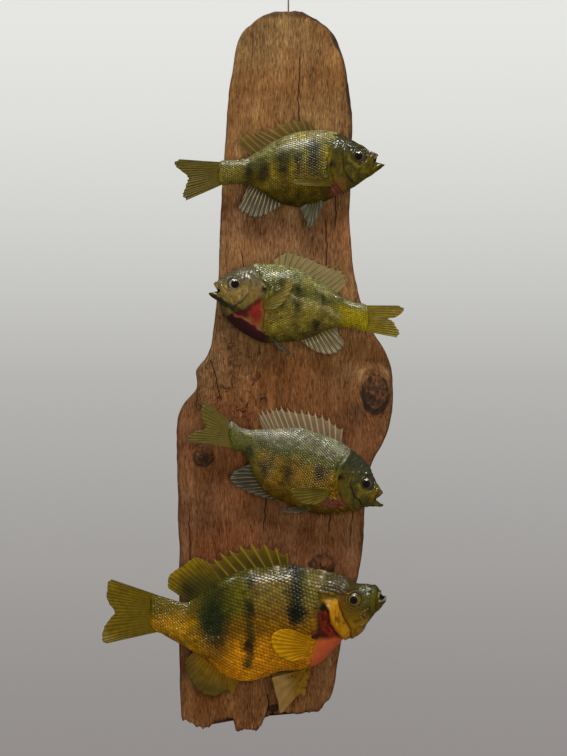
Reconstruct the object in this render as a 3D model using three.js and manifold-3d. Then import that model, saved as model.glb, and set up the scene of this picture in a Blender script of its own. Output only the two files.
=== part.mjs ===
// A driftwood wall board that carries four mounted sunfish, at life size, in millimetres.
//
// +Z is up and +Y points into the wall. The board's flat back lies in the plane y = 0, with the
// origin at the middle of that back, and the fish stand out from its front along -Y.
// The lowest fish is modelled part by part. The three smaller ones are each one solid.
//
// A fish is drawn in its own frame: x runs from the mouth to the tail, y up to the back, and z
// across the body. It is placed by a group, which faces it left or right on the board.

import * as THREE from "three";
import { mergeVertices } from "three/addons/utils/BufferGeometryUtils.js";
import Module from "manifold-3d";

const wasm = await Module();
wasm.setup();

// ---------------------------------------------------------------- driving dimensions

const GAP = 0.3; // clearance between neighbouring solids
const BOARD_THICKNESS = 22;
const BOARD_TOP = 325.5;
const BOARD_FOOT = -330; // below the broken end, which is cut to its line
const BOARD_EDGE_ROUND = 4;
const SEAT_FLAT = 2.6; // how far a fish's wall side is flattened where it is fixed to the board
const SECTION_POWER = 1.2; // 1 makes a body section an ellipse, more makes it a lens
const SECTION_SHIFT = 0.1; // how much fuller a section is above its middle than below
const MAIN_FIN_THICKNESS = 1.3;
const SMALL_FIN_THICKNESS = 1.2;
const FLAT_DEPTH = 400; // long enough to cut right through anything here

// ---------------------------------------------------------------- curves

// A smooth function through [input, output...] rows: cubic Hermite pieces whose slope at each row
// is the slope between its two neighbours.
function through(rows) {
  const slope = (i, k) => {
    const before = rows[Math.max(i - 1, 0)];
    const after = rows[Math.min(i + 1, rows.length - 1)];
    return (after[k] - before[k]) / (after[0] - before[0]);
  };
  return (input) => {
    let i = rows.findIndex((row) => row[0] > input) - 1;
    if (i < 0) i = input < rows[0][0] ? 0 : rows.length - 2;
    const [from, to] = [rows[i], rows[i + 1]];
    const step = to[0] - from[0];
    const t = THREE.MathUtils.clamp((input - from[0]) / step, 0, 1);
    const [t2, t3] = [t * t, t * t * t];
    return from.slice(1).map(
      (value, j) =>
        (2 * t3 - 3 * t2 + 1) * value +
        (t3 - 2 * t2 + t) * step * slope(i, j + 1) +
        (3 * t2 - 2 * t3) * to[j + 1] +
        (t3 - t2) * step * slope(i + 1, j + 1),
    );
  };
}

// The same for rows without an input column: they are spread evenly over 0 to 1.
function evenly(rows) {
  return through(rows.map((row, i) => [i / (rows.length - 1), ...row]));
}

// ---------------------------------------------------------------- solids

// Moves every vertex of a three.js geometry by its own position and uv, and closes its seams.
function shaped(geometry, move) {
  const { position, uv } = geometry.attributes;
  for (let i = 0; i < position.count; i++) {
    const at = new THREE.Vector3().fromBufferAttribute(position, i);
    position.setXYZ(i, ...move(at, uv.getX(i), uv.getY(i)));
  }
  return solid(geometry);
}

function solid(geometry) {
  geometry.deleteAttribute("normal");
  geometry.deleteAttribute("uv");
  const merged = mergeVertices(geometry, 1e-4);
  const triVerts = new Uint32Array(merged.index.array);
  return new wasm.Manifold(
    new wasm.Mesh({ numProp: 3, vertProperties: merged.attributes.position.array, triVerts }),
  );
}

function meshOf(name, made, material) {
  const { vertProperties, triVerts } = made.getMesh();
  const geometry = new THREE.BufferGeometry();
  geometry.setAttribute("position", new THREE.BufferAttribute(vertProperties, 3));
  geometry.setIndex(new THREE.BufferAttribute(triVerts, 1));
  geometry.computeVertexNormals();
  const mesh = new THREE.Mesh(geometry, material);
  mesh.name = name;
  return mesh;
}

// A closed outline in a fish's own x-y plane, carried straight through along z from low to high.
function prism(outline, low = -FLAT_DEPTH / 2, high = FLAT_DEPTH / 2) {
  const shape = new THREE.Shape(outline.map(([x, y]) => new THREE.Vector2(x, y)));
  const geometry = new THREE.ExtrudeGeometry(shape, { depth: high - low, bevelEnabled: false });
  return solid(geometry.translate(0, 0, low));
}

// An outline moved outwards by a distance, each corner along the mean of its two sides' normals.
function outset(outline, by) {
  const hand = Math.sign(THREE.ShapeUtils.area(outline.map(([x, y]) => new THREE.Vector2(x, y))));
  return outline.map(([x, y], i) => {
    const [beforeX, beforeY] = outline.at(i - 1);
    const [afterX, afterY] = outline[(i + 1) % outline.length];
    const side = new THREE.Vector2(x - beforeX, y - beforeY).normalize();
    const mean = new THREE.Vector2(afterX - x, afterY - y).normalize().add(side).normalize();
    const reach = (by * hand) / side.dot(mean);
    return [x + reach * mean.y, y - reach * mean.x];
  });
}

// A solid with the clearance added all round it in the x-y plane, to cut its neighbours with.
function withClearance(made) {
  const shifts = [[GAP, 0], [0, GAP], [-GAP, 0], [0, -GAP]];
  return wasm.Manifold.union(shifts.map(([x, y]) => made.translate(x, y, 0)));
}

function ball([x, y, z], radius, segments = 12) {
  const sphere = new THREE.SphereGeometry(radius, segments, segments / 2);
  return solid(sphere.rotateX(Math.PI / 2).translate(x, y, z));
}

// ---------------------------------------------------------------- materials

function finish(hex, roughness, metalness = 0) {
  return new THREE.MeshStandardMaterial({ color: hex, roughness, metalness });
}

const DRIFTWOOD = finish(0x8a5a3c, 0.85);
const SKIN_GOLD = finish(0x8a6a1c, 0.35);
const SKIN_GREEN = finish(0x5c6a2c, 0.35);
const HEAD_OLIVE = finish(0x66641c, 0.35);
const GILL_YELLOW = finish(0xa8741a, 0.35);
const FIN_YELLOW = finish(0x7c6a14, 0.4);
const FIN_GREY = finish(0x6a6a50, 0.4);
const EYE_GLASS = finish(0x18120c, 0.05);
const HANGER_WIRE = finish(0x74704c, 0.45, 0.6);

// ---------------------------------------------------------------- the board

// [height, left edge, right edge] of the plank: a round top, a waist, and a knotted swelling on
// each side below it.
const boardEdges = through([
  [-330, -91, 24],
  [-302.6, -95, 34],
  [-284.5, -95.5, 42.7],
  [-261.8, -96, 46.5],
  [-225.5, -96.8, 53.6],
  [-189.2, -97.3, 64.5],
  [-152.9, -97, 70.5],
  [-125.7, -98, 71.5],
  [-98.4, -98.6, 74.2],
  [-80.3, -98.8, 79],
  [-66.7, -99, 86.7],
  [-53, -98.6, 93],
  [-39.4, -96.6, 96],
  [-27.6, -91, 97.2],
  [-15, -80.8, 97.3],
  [0.5, -81.2, 96.3],
  [6, -78, 95],
  [13.2, -72, 92],
  [24, -68, 86],
  [42, -65.8, 75.3],
  [65, -62.8, 67.2],
  [92, -60.8, 61.5],
  [120, -59.9, 58.3],
  [156, -58.5, 58],
  [201, -55.8, 58.8],
  [228, -54, 59.3],
  [255.5, -51, 57.2],
  [278, -48.5, 53],
  [292, -45.2, 48.2],
  [301, -42, 44.3],
  [310, -35.6, 38],
  [316.3, -28.4, 30],
  [321.8, -20, 21.7],
  [325.5, -11, 14],
]);

// The line of the broken end: [across, height].
const BROKEN_END = [
  [-93, -316], [-86, -316.5], [-81, -321], [-75, -323], [-70, -320.5], [-64, -317], [-58, -316],
  [-52, -313.5], [-47.5, -315], [-45.5, -324.5], [-43, -325.5], [-36, -323.5], [-27, -324],
  [-22, -320], [-19, -313], [-14.5, -310], [-5, -309.4], [4, -308], [13, -309], [22, -307],
  [30, -307], [34, -302], [40, -290],
];

// [centre x, centre z, half width, half height, depth] of the knots that stand out of the front.
const KNOTS = [
  [79, -17, 15, 22, 6],
  [-75.9, -76.3, 10, 10, 2],
  [32.5, -174.9, 12, 12, 2.5],
];

const BOARD_COLUMNS = 6;
const BOARD_ROWS = 38;
const BOARD_LAYERS = 2;

// The board is a box whose rows follow the two edges. It is widest half way through, and its
// front edges are drawn back.
function plankSolid() {
  const box = new THREE.BoxGeometry(1, 1, 1, BOARD_COLUMNS, BOARD_LAYERS, BOARD_ROWS);
  return shaped(box, (at) => {
    const rise = at.z + 0.5;
    const level = BOARD_FOOT + (BOARD_TOP - BOARD_FOOT) * (1 - (1 - rise) ** 1.25);
    const [left, right] = boardEdges(level);
    const front = 0.5 - at.y;
    const across = Math.sin(Math.PI * at.x);
    const inset = BOARD_EDGE_ROUND * (2 * front - 1) ** 2;
    const half = (right - left) / 2 - inset * 0.6;
    const drawn = front > 0.9 ? Math.abs(across) ** 6 * BOARD_EDGE_ROUND * 0.7 : 0;
    const x = (left + right) / 2 + across * half;
    return [x, -front * BOARD_THICKNESS + drawn, level];
  });
}

function boardSolid() {
  const below = [[-120, -360], ...[[-120, -316]].concat(BROKEN_END), [70, -290], [70, -360]];
  const broken = prism(below).rotate([90, 0, 0]);
  const knots = KNOTS.map(([x, z, halfWidth, halfHeight, depth]) => {
    const dome = new THREE.SphereGeometry(1, 12, 8);
    dome.scale(halfWidth, depth, halfHeight).translate(x, -BOARD_THICKNESS, z);
    return solid(dome);
  });
  return wasm.Manifold.union([plankSolid(), ...knots]).subtract(broken).subtract(grooveSolid());
}

// ---------------------------------------------------------------- the hanger

const WIRE_X = 2.2;
const WIRE_Y = -3;
const WIRE_DIAMETER = 1.5;
const WIRE_HEAD = 340;
const GROOVE_WIDTH = 9;
const GROOVE_DEPTH = 6;
const GROOVE_FOOT = 294;
const EYE_RING_RADIUS = 2.6; // to its outside
const EYE_RING_WIRE = 0.8;
const EYE_CENTRE_Z = 302;
const SHANK_LENGTH = 9;
const WIRE_FOOT = EYE_CENTRE_Z + EYE_RING_RADIUS + GAP;
const LOOP_RADIUS = 5;
const LOOP_WIRE = 0.8;

function shankSolid(radius, grow = 0) {
  const length = SHANK_LENGTH + grow;
  const rod = new THREE.CylinderGeometry(radius, radius, length, 12);
  const root = WIRE_Y - EYE_RING_RADIUS + EYE_RING_WIRE;
  return solid(rod.translate(WIRE_X, root - length / 2, EYE_CENTRE_Z));
}

function grooveSolid() {
  const box = new THREE.BoxGeometry(GROOVE_WIDTH, 2 * GROOVE_DEPTH, 60);
  return solid(box.translate(WIRE_X, 0, GROOVE_FOOT + 30)).add(shankSolid(1 + GAP, GAP));
}

// The screw eye stands in the groove, with its ring in the plane x = WIRE_X and its shank in the wood.
function eyeRingSolid() {
  const ring = new THREE.TorusGeometry(EYE_RING_RADIUS - EYE_RING_WIRE, EYE_RING_WIRE, 6, 12);
  ring.rotateY(Math.PI / 2).translate(WIRE_X, WIRE_Y, EYE_CENTRE_Z);
  return solid(ring).add(shankSolid(1));
}

function wireSolid() {
  const route = new THREE.LineCurve3(
    new THREE.Vector3(WIRE_X, WIRE_Y, WIRE_FOOT),
    new THREE.Vector3(WIRE_X, WIRE_Y, WIRE_HEAD),
  );
  const section = new THREE.Shape().absarc(0, 0, WIRE_DIAMETER / 2, 0, 2 * Math.PI);
  return solid(
    new THREE.ExtrudeGeometry(section, { extrudePath: route, steps: 4, curveSegments: 4 }),
  );
}

function loopSolid() {
  const ring = new THREE.TorusGeometry(LOOP_RADIUS, LOOP_WIRE, 6, 16);
  const height = WIRE_HEAD + GAP + LOOP_RADIUS + LOOP_WIRE;
  return solid(ring.rotateX(Math.PI / 2).translate(WIRE_X, WIRE_Y, height));
}

// ---------------------------------------------------------------- the form of a fish

// A fish is a run of ribs from mouth to tail, each [x, y of the back, x, y of the belly, half
// width]. It starts and ends in a point. The body leans out of its flat plane at both ends.
class Fish {
  constructor({ ribs, lean }) {
    this.rib = evenly(ribs);
    this.ribCount = ribs.length - 1;
    this.lean = lean;
    this.length = ribs[ribs.length - 1][0];
  }

  // How far the middle of the body stands out of the flat plane, at x behind the mouth.
  leanAt(x) {
    const { head, tail, neck, waist, side } = this.lean;
    const ahead = Math.max(0, (neck - x) / neck);
    const behind = Math.max(0, (x - waist) / (this.length - waist));
    return side * (head * ahead ** 2 + tail * behind ** 2);
  }

  // Half the body's width on a rib, at an angle that is 0 on the back and pi under the belly.
  halfWidth(width, angle) {
    const lens = Math.abs(Math.sin(angle)) ** SECTION_POWER;
    return width * lens * (1 + SECTION_SHIFT * Math.cos(angle));
  }

  pointAt(along, angle) {
    const [backX, backY, bellyX, bellyY, width] = this.rib(along);
    const share = (1 - Math.cos(angle)) / 2;
    const x = THREE.MathUtils.lerp(backX, bellyX, share);
    const y = THREE.MathUtils.lerp(backY, bellyY, share);
    const out = this.halfWidth(width, angle) * Math.sign(Math.sin(angle));
    return [x, y, this.leanAt(x) + out];
  }

  // The body's half width at a place in its side view, found by halving the run of ribs until
  // the rib that passes through the place is reached.
  flankAt(x, y) {
    let [low, high] = [0, 1];
    for (let i = 0; i < 24; i++) {
      const middle = (low + high) / 2;
      const [backX, backY, bellyX, bellyY] = this.rib(middle);
      const turn = (bellyX - backX) * (y - backY) - (bellyY - backY) * (x - backX);
      if (turn > 0) low = middle;
      else high = middle;
    }
    const [backX, backY, bellyX, bellyY, width] = this.rib(low);
    const length = Math.hypot(bellyX - backX, bellyY - backY);
    const share = Math.hypot(x - backX, y - backY) / Math.max(length, 1e-6);
    const angle = Math.acos(THREE.MathUtils.clamp(1 - 2 * share, -1, 1));
    return this.halfWidth(width, angle);
  }

  bodySolid(rings, segments) {
    const sphere = new THREE.SphereGeometry(1, segments, rings);
    return shaped(sphere, (at, around, along) => {
      const end = along < 1e-6 || along > 1 - 1e-6;
      return this.pointAt(1 - along, end ? 0 : -around * 2 * Math.PI);
    });
  }

  // A fin is a fan of rays from its base to its edge. It is a box whose columns are the rays.
  // stand gives how far the middle of the fin stands out at a place: in the body's own plane
  // unless it is told otherwise.
  finSolid({ base, edge, rays, rows = 1, thickness, stand = (x) => this.leanAt(x) }) {
    const foot = evenly(base);
    const tip = evenly(edge);
    const [[firstX, firstY], [lastX, lastY]] = [foot(0), foot(1)];
    const [middleX, middleY] = tip(0.5);
    const turn = (lastX - firstX) * (middleY - firstY) - (lastY - firstY) * (middleX - firstX);
    const box = new THREE.BoxGeometry(1, 1, 1, rays, rows, 1);
    return shaped(box, (at) => {
      const ray = at.x + 0.5;
      const out = at.y + 0.5;
      const [footX, footY] = foot(ray);
      const [tipX, tipY] = tip(ray);
      const x = THREE.MathUtils.lerp(footX, tipX, out);
      const y = THREE.MathUtils.lerp(footY, tipY, out);
      return [x, y, stand(x, y, out) + at.z * thickness * Math.sign(turn)];
    });
  }
}

// Points of a spiny fin's edge: the tip of each spine, and between tips the membrane, which dips
// towards the foot of the fin by a share of its height.
function spinyEdge(base, tips, spines, dip) {
  const foot = evenly(base);
  const tip = evenly(tips);
  return Array.from({ length: 2 * spines - 1 }, (_, i) => {
    const ray = i / (2 * spines - 2);
    const [tipX, tipY] = tip(ray);
    const [footX, footY] = foot(ray);
    const share = i % 2 ? dip : 0;
    return [tipX + (footX - tipX) * share, tipY + (footY - tipY) * share];
  });
}

// ---------------------------------------------------------------- the main fish

const MAIN_SIDE = -1; // its own z points into the wall, so it leans and looks out along -z
const MAIN_HALF_WIDTH = 21.5;
const MAIN_SEAT = MAIN_HALF_WIDTH - SEAT_FLAT; // from its middle plane to the front of the board

const mainFish = new Fish({
  lean: { head: 5, tail: 9, neck: 60, waist: 120, side: MAIN_SIDE },
  ribs: [
    [0, 0, 0, 0, 0],
    [1.3, 3.6, 0.9, -2.7, 3.5],
    [4.5, 7.2, 4, -6.7, 6],
    [9.4, 13, 9.8, -12.5, 8.5],
    [17, 13.9, 15.7, -20, 11],
    [25.9, 14.8, 20.6, -28.6, 13.5],
    [34, 18.3, 26.8, -33.6, 16],
    [43.8, 22.5, 36.7, -36, 18],
    [56.4, 25.5, 45.6, -44.5, 19.5],
    [70.7, 28, 59.1, -57.7, 21],
    [86.8, 31.1, 75.2, -63.4, MAIN_HALF_WIDTH],
    [105.6, 28.5, 94, -64.8, 21],
    [123.5, 27, 110.1, -70.5, 19],
    [140.5, 21, 128, -73.4, 16.5],
    [156.6, 12.2, 146.7, -66.4, 13],
    [169.1, 2.5, 163.7, -52, 10.5],
    [179.9, -2.7, 177.2, -43.7, 8],
    [192.4, 0.2, 189.7, -36.4, 6.5],
    [203.1, 3.9, 201.3, -29.5, 4.6],
    [208.5, 3.5, 208.5, -26, 3.2],
    [211, -11, 211, -11, 0],
  ],
});

const MAIN_EYE = { x: 27.9, y: 1, radius: 7.6, bulge: 3 };

// Outlines in the side view that part the head from the trunk, and the loose plates from the head.
const HEAD_OUTLINE = [
  [-9, 45], [41, 40], [45, 20], [50, 8], [56, 4.5], [59, -1], [54, -9], [52, -21], [47, -29],
  [42, -36.5], [38, -50], [-9, -50],
];
const GILL_COVER_OUTLINE = [
  [42.5, -1.5], [47.4, 1.2], [52.8, 2.7], [56.4, -0.9], [51.5, -8], [49.2, -20.6], [44.9, -27.5],
  [39.8, -33.5], [35.5, -34.5], [32, -31], [33, -24], [38, -15],
];
const GAPE_OUTLINE = [[-6, 5.5], [3, 5], [7.5, 1], [7.5, 0.4], [0.5, 0.9], [-6, 0.9]];
const JAW_OUTLINE = [[-6, 0.9], [0.5, 0.9], [7.5, 0.4], [10.5, -5], [13, -12], [12, -26], [-6, -26]];
const TAIL_STEM_OUTLINE = [[176, 30], [172, -60], [260, -60], [260, 30]];
const GILL_COVER_DEPTH = 6; // it goes in to this distance from the middle plane

const mainFins = {
  dorsal_fin_spiny: {
    base: [[87.5, 28], [104, 26], [125, 22.5], [146, 14]],
    tips: [
      [88.1, 41.2], [98.7, 46], [108.7, 49], [121.3, 49.8], [131.6, 48.1], [140.8, 44.3],
      [148.7, 41.5], [154.9, 36.7], [163.1, 35.8],
    ],
    spines: 9,
    dip: 0.2,
  },
  dorsal_fin_soft: {
    base: [[146.6, 14], [155, 9], [165, 1.5], [174, -4]],
    edge: [
      [163.8, 35.6], [170.5, 37.6], [176, 34.6], [182.5, 29.8], [189, 26.5], [194, 21.8],
      [195.1, 16], [195.1, 10.7],
    ],
    rays: 12,
  },
  anal_fin: {
    base: [[130, -69], [143, -63], [156, -53], [168, -42]],
    edge: [
      [132.5, -77.5], [135, -80.5], [137.4, -88], [140.5, -82], [147, -84.5], [152, -87.7],
      [158.4, -86.8], [165.5, -84.1], [170.5, -79.5], [175, -73], [178, -66], [179.5, -59],
      [179.5, -54.6],
    ],
    rays: 18,
  },
  caudal_fin: {
    base: [[203, 4], [204, -11], [203, -28.5]],
    edge: [
      [244.3, 19.2], [247.6, 17], [248.2, 10], [249, 4], [246.6, -2.5], [241.6, -9.8],
      [246, -15.5], [250.5, -22.4], [252.8, -31], [252, -36], [248.8, -37.6],
    ],
    rays: 20,
  },
};

// The paired fins stand off the flank by a hand's clearance that grows towards their tips.
const PECTORAL = {
  base: [[67.1, -31.5], [67.8, -40], [69.8, -50]],
  edge: [
    [80, -26], [87, -24], [94, -24], [101.5, -28.5], [103, -35], [101, -42.5], [95, -49.5],
    [86, -53.4], [76, -51.2],
  ],
  clearance: 0.5,
  flare: 4,
};
const PELVIC = {
  base: [[67.5, -59], [75, -62.5]],
  edge: [
    [72.9, -86.3], [77.8, -84.6], [86.8, -93.1], [94.3, -101.1], [97, -91], [99.8, -80],
    [102.5, -69],
  ],
  spread: 5, // from the middle plane at the foot
  splay: 6, // further out at the tip
};

function mainFishMeshes() {
  const toWall = -MAIN_SIDE;
  const whole = mainFish.bodySolid(30, 14);
  const seat = new THREE.BoxGeometry(FLAT_DEPTH, FLAT_DEPTH, 60);
  const wall = solid(seat.translate(120, 0, toWall * (MAIN_SEAT - GAP + 30)));
  const body = whole.subtract(wall);

  const eyes = [MAIN_SIDE, toWall].map((side) => {
    const out = mainFish.flankAt(MAIN_EYE.x, MAIN_EYE.y) + MAIN_EYE.bulge - MAIN_EYE.radius;
    return [MAIN_EYE.x, MAIN_EYE.y, mainFish.leanAt(MAIN_EYE.x) + side * out];
  });
  const covers = [MAIN_SIDE, toWall].map((side) => {
    const [near, far] = [side * GILL_COVER_DEPTH, side * 60].sort((a, b) => a - b);
    return [
      prism(GILL_COVER_OUTLINE, near, far),
      prism(outset(GILL_COVER_OUTLINE, GAP), near - GAP, far + GAP),
    ];
  });

  const front = body.intersect(prism(HEAD_OUTLINE)).subtract(prism(GAPE_OUTLINE));
  let skull = front.subtract(prism(outset(JAW_OUTLINE, GAP)));
  for (const centre of eyes) skull = skull.subtract(ball(centre, MAIN_EYE.radius + GAP));
  for (const [, pocket] of covers) skull = skull.subtract(pocket);
  const pectorals = {
    right: mainPectoral(MAIN_SIDE, (x, y, out) => {
      const flank = mainFish.flankAt(x, y) + PECTORAL.clearance + MAIN_FIN_THICKNESS / 2;
      return mainFish.leanAt(x) + MAIN_SIDE * (flank + PECTORAL.flare * out);
    }),
    left: mainPectoral(toWall, () => toWall * (MAIN_SEAT - GAP - MAIN_FIN_THICKNESS / 2)),
  };
  const finPocket = prism(outset(outlineOf(PECTORAL), 1), MAIN_SEAT - MAIN_FIN_THICKNESS - 2 * GAP, 60);
  const trunk = body
    .subtract(prism(outset(HEAD_OUTLINE, GAP)))
    .subtract(prism(outset(TAIL_STEM_OUTLINE, GAP)))
    .subtract(finPocket);

  const flesh = withClearance(body);
  const parts = [
    ["main_head", largest(skull), HEAD_OLIVE],
    ["main_lower_jaw", front.intersect(prism(JAW_OUTLINE)), HEAD_OLIVE],
    ["main_gill_cover_right", body.intersect(covers[0][0]), GILL_YELLOW],
    ["main_gill_cover_left", body.intersect(covers[1][0]), GILL_YELLOW],
    ["main_eye_right", ball(eyes[0], MAIN_EYE.radius), EYE_GLASS],
    ["main_eye_left", ball(eyes[1], MAIN_EYE.radius), EYE_GLASS],
    ["main_trunk", largest(trunk), SKIN_GOLD],
    ["main_tail_stem", body.intersect(prism(TAIL_STEM_OUTLINE)), SKIN_GOLD],
    ["main_pectoral_fin_right", pectorals.right, FIN_YELLOW],
    ["main_pectoral_fin_left", pectorals.left, FIN_YELLOW],
  ];
  for (const [name, fin] of Object.entries(mainFins)) {
    const edge = fin.edge ?? spinyEdge(fin.base, fin.tips, fin.spines, fin.dip);
    const plate = mainFish.finSolid({
      base: fin.base, edge, rays: fin.rays ?? 2 * (fin.spines - 1), thickness: MAIN_FIN_THICKNESS,
    });
    parts.push([`main_${name}`, largest(plate.subtract(flesh)), FIN_YELLOW]);
  }
  for (const [name, side] of [["right", MAIN_SIDE], ["left", toWall]]) {
    const plate = mainFish.finSolid({
      base: PELVIC.base, edge: PELVIC.edge, rays: 10, thickness: MAIN_FIN_THICKNESS,
      stand: (x, y, out) => mainFish.leanAt(x) + side * (PELVIC.spread + PELVIC.splay * out),
    });
    parts.push([`main_pelvic_fin_${name}`, largest(plate.subtract(flesh)), FIN_YELLOW]);
  }
  return parts.map((part) => meshOf(...part));
}

function mainPectoral(side, stand) {
  const { base, edge } = PECTORAL;
  return mainFish.finSolid({ base, edge, rays: 12, rows: 2, thickness: MAIN_FIN_THICKNESS, stand });
}

// The outline of a fin: up its base, then round its edge.
function outlineOf({ base, edge }) {
  return [...base].reverse().concat(edge);
}

// The largest of a solid's separate bodies, which drops slivers that a cut leaves.
function largest(made) {
  return made.decompose().sort((a, b) => b.volume() - a.volume())[0];
}

// ---------------------------------------------------------------- the three smaller fish

const TOP_FISH = {
  side: -1,
  form: {
    lean: { head: 3, tail: 6, neck: 45, waist: 90, side: -1 },
    ribs: [
      [-2.6, -2.6, -2.6, -2.6, 0],
      [2.4, 4, -2.4, -6.2, 3],
      [10.8, 8.5, 9, -14.4, 5.5],
      [18, 13.6, 14.4, -17.8, 7.5],
      [26, 18, 24.2, -24.4, 9.5],
      [35.9, 23.3, 35, -29.6, 11.5],
      [47.6, 26.6, 46.7, -35.5, 13.5],
      [62, 26.7, 62, -41.3, 15],
      [77.2, 24.5, 76.3, -41.9, 15],
      [92.5, 18.6, 91.6, -38.4, 13.5],
      [105.9, 10.7, 105.1, -30.5, 11],
      [119.4, 2.2, 117.6, -23.3, 8],
      [131.1, -0.5, 130.2, -21.6, 5.5],
      [143.7, -1.8, 143.7, -22.1, 3.5],
      [146.4, -11.7, 146.4, -11.7, 0],
    ],
  },
  eye: { x: 19.8, y: 2.7, radius: 6.6, bulge: 2.7 },
  gape: [[-8, 4.5], [2, 3.4], [4.5, -1.5], [3.6, -2.7], [-3.4, -4.1], [-8, -4]],
  fins: [
    {
      base: [[56, 23], [75, 21], [95, 13], [115, 2]],
      tips: [
        [62, 32.3], [67.3, 38.6], [73.6, 39.5], [81.7, 37], [89, 35.7], [101.5, 30.5],
        [113.1, 27.8], [120.3, 27.4], [126.6, 26], [133.8, 18],
      ],
      spines: 10,
      dip: 0.12,
    },
    {
      base: [[90, -34], [106, -25], [119.5, -18]],
      edge: [
        [89.8, -41.5], [95.2, -44.9], [101.5, -48.5], [108.6, -51.2], [115.8, -52.1],
        [122, -50], [127, -46], [127.5, -41.3], [119.4, -31.4],
      ],
    },
    {
      base: [[141, -2.5], [142, -12], [141, -22]],
      edge: [
        [180.5, -0.9], [185, -3.6], [184.1, -7.2], [178, -12.5], [173.3, -17.1], [174.2, -21.5],
        [176.9, -28.7], [177.8, -33.2], [175.1, -37.7],
      ],
    },
  ],
  pelvic: {
    base: [[53, -36], [66, -38]],
    edge: [
      [51.5, -39], [56.6, -52.1], [61.1, -58.4], [64.6, -63.7], [67.3, -57.5], [70, -50.3],
      [72.7, -44],
    ],
  },
  pectoral: {
    base: [[44.5, -19], [44.5, -24.5]],
    edge: [[60, -18.5], [78, -19.5], [79, -23], [70, -24.5], [60, -25]],
  },
};

const SECOND_FISH = {
  side: 1,
  form: {
    lean: { head: 4, tail: 6, neck: 50, waist: 80, side: 1 },
    ribs: [
      [-3.3, -1.6, -3.3, -1.6, 0],
      [1, 6.4, -0.6, -6, 3.5],
      [6.7, 9.5, 5.8, -10.3, 6],
      [12.1, 14.8, 9, -18, 8.5],
      [19.3, 18.7, 14.8, -27.4, 11],
      [29.2, 22.3, 22.9, -34.6, 13],
      [40, 24.4, 32.8, -40.9, 14.5],
      [53.4, 24.2, 45.3, -46.4, 15.5],
      [66.9, 22.4, 60.6, -45.6, 14.5],
      [80.4, 18, 75.9, -44.8, 13],
      [93.8, 10.2, 90.2, -40.9, 11],
      [106.4, 1.6, 102.8, -35.2, 9],
      [117.2, -6.2, 115.4, -32.8, 6.5],
      [127.9, -10.7, 127, -33.6, 5],
      [137.8, -13, 136.9, -35.9, 3.5],
      [140.5, -25.1, 140.5, -25.1, 0],
    ],
  },
  eye: { x: 19.8, y: 5.8, radius: 6.4, bulge: 2.6 },
  gape: [[-8, 6.5], [0.6, 5.4], [3.5, 1.5], [6, -1.6], [0, -1.3], [-3.6, -1.3], [-8, -1.5]],
  fins: [
    {
      base: [[56, 21], [74, 17.5], [93, 7.5], [110, -4]],
      tips: [
        [54.5, 28.7], [61, 35.5], [69.6, 38.6], [78, 36.2], [86, 33.2], [95, 30.5],
        [103.5, 26.5], [111, 23.8], [119, 22.4], [124.2, 17], [121.7, 7.2],
      ],
      spines: 11,
      dip: 0.14,
    },
    {
      base: [[76, -38], [93, -32], [108, -28]],
      edge: [
        [80, -45.5], [86, -50.5], [93, -54.7], [101, -57.2], [109, -57.2], [115.4, -53.9],
        [119, -46.7], [114, -40], [112, -33],
      ],
    },
    {
      base: [[135, -13], [136, -24.5], [135, -36]],
      edge: [
        [166.6, -13.5], [171.5, -16.2], [170.1, -19.8], [163.9, -24.2], [157.6, -25.1],
        [162.1, -27.8], [164.8, -32.3], [167.5, -37.7], [165.7, -42.2],
      ],
    },
  ],
  pelvic: {
    base: [[45, -36], [49, -39]],
    edge: [[60, -51.5], [71.4, -58], [71, -56], [62, -50], [54, -44]],
  },
  pectoral: {
    base: [[45.5, -9], [46, -17.5]],
    edge: [[56, -2.5], [65, 3], [72.3, 5.4], [69.6, -1.8], [64.2, -10.8], [56.1, -17.1]],
  },
};

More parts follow.
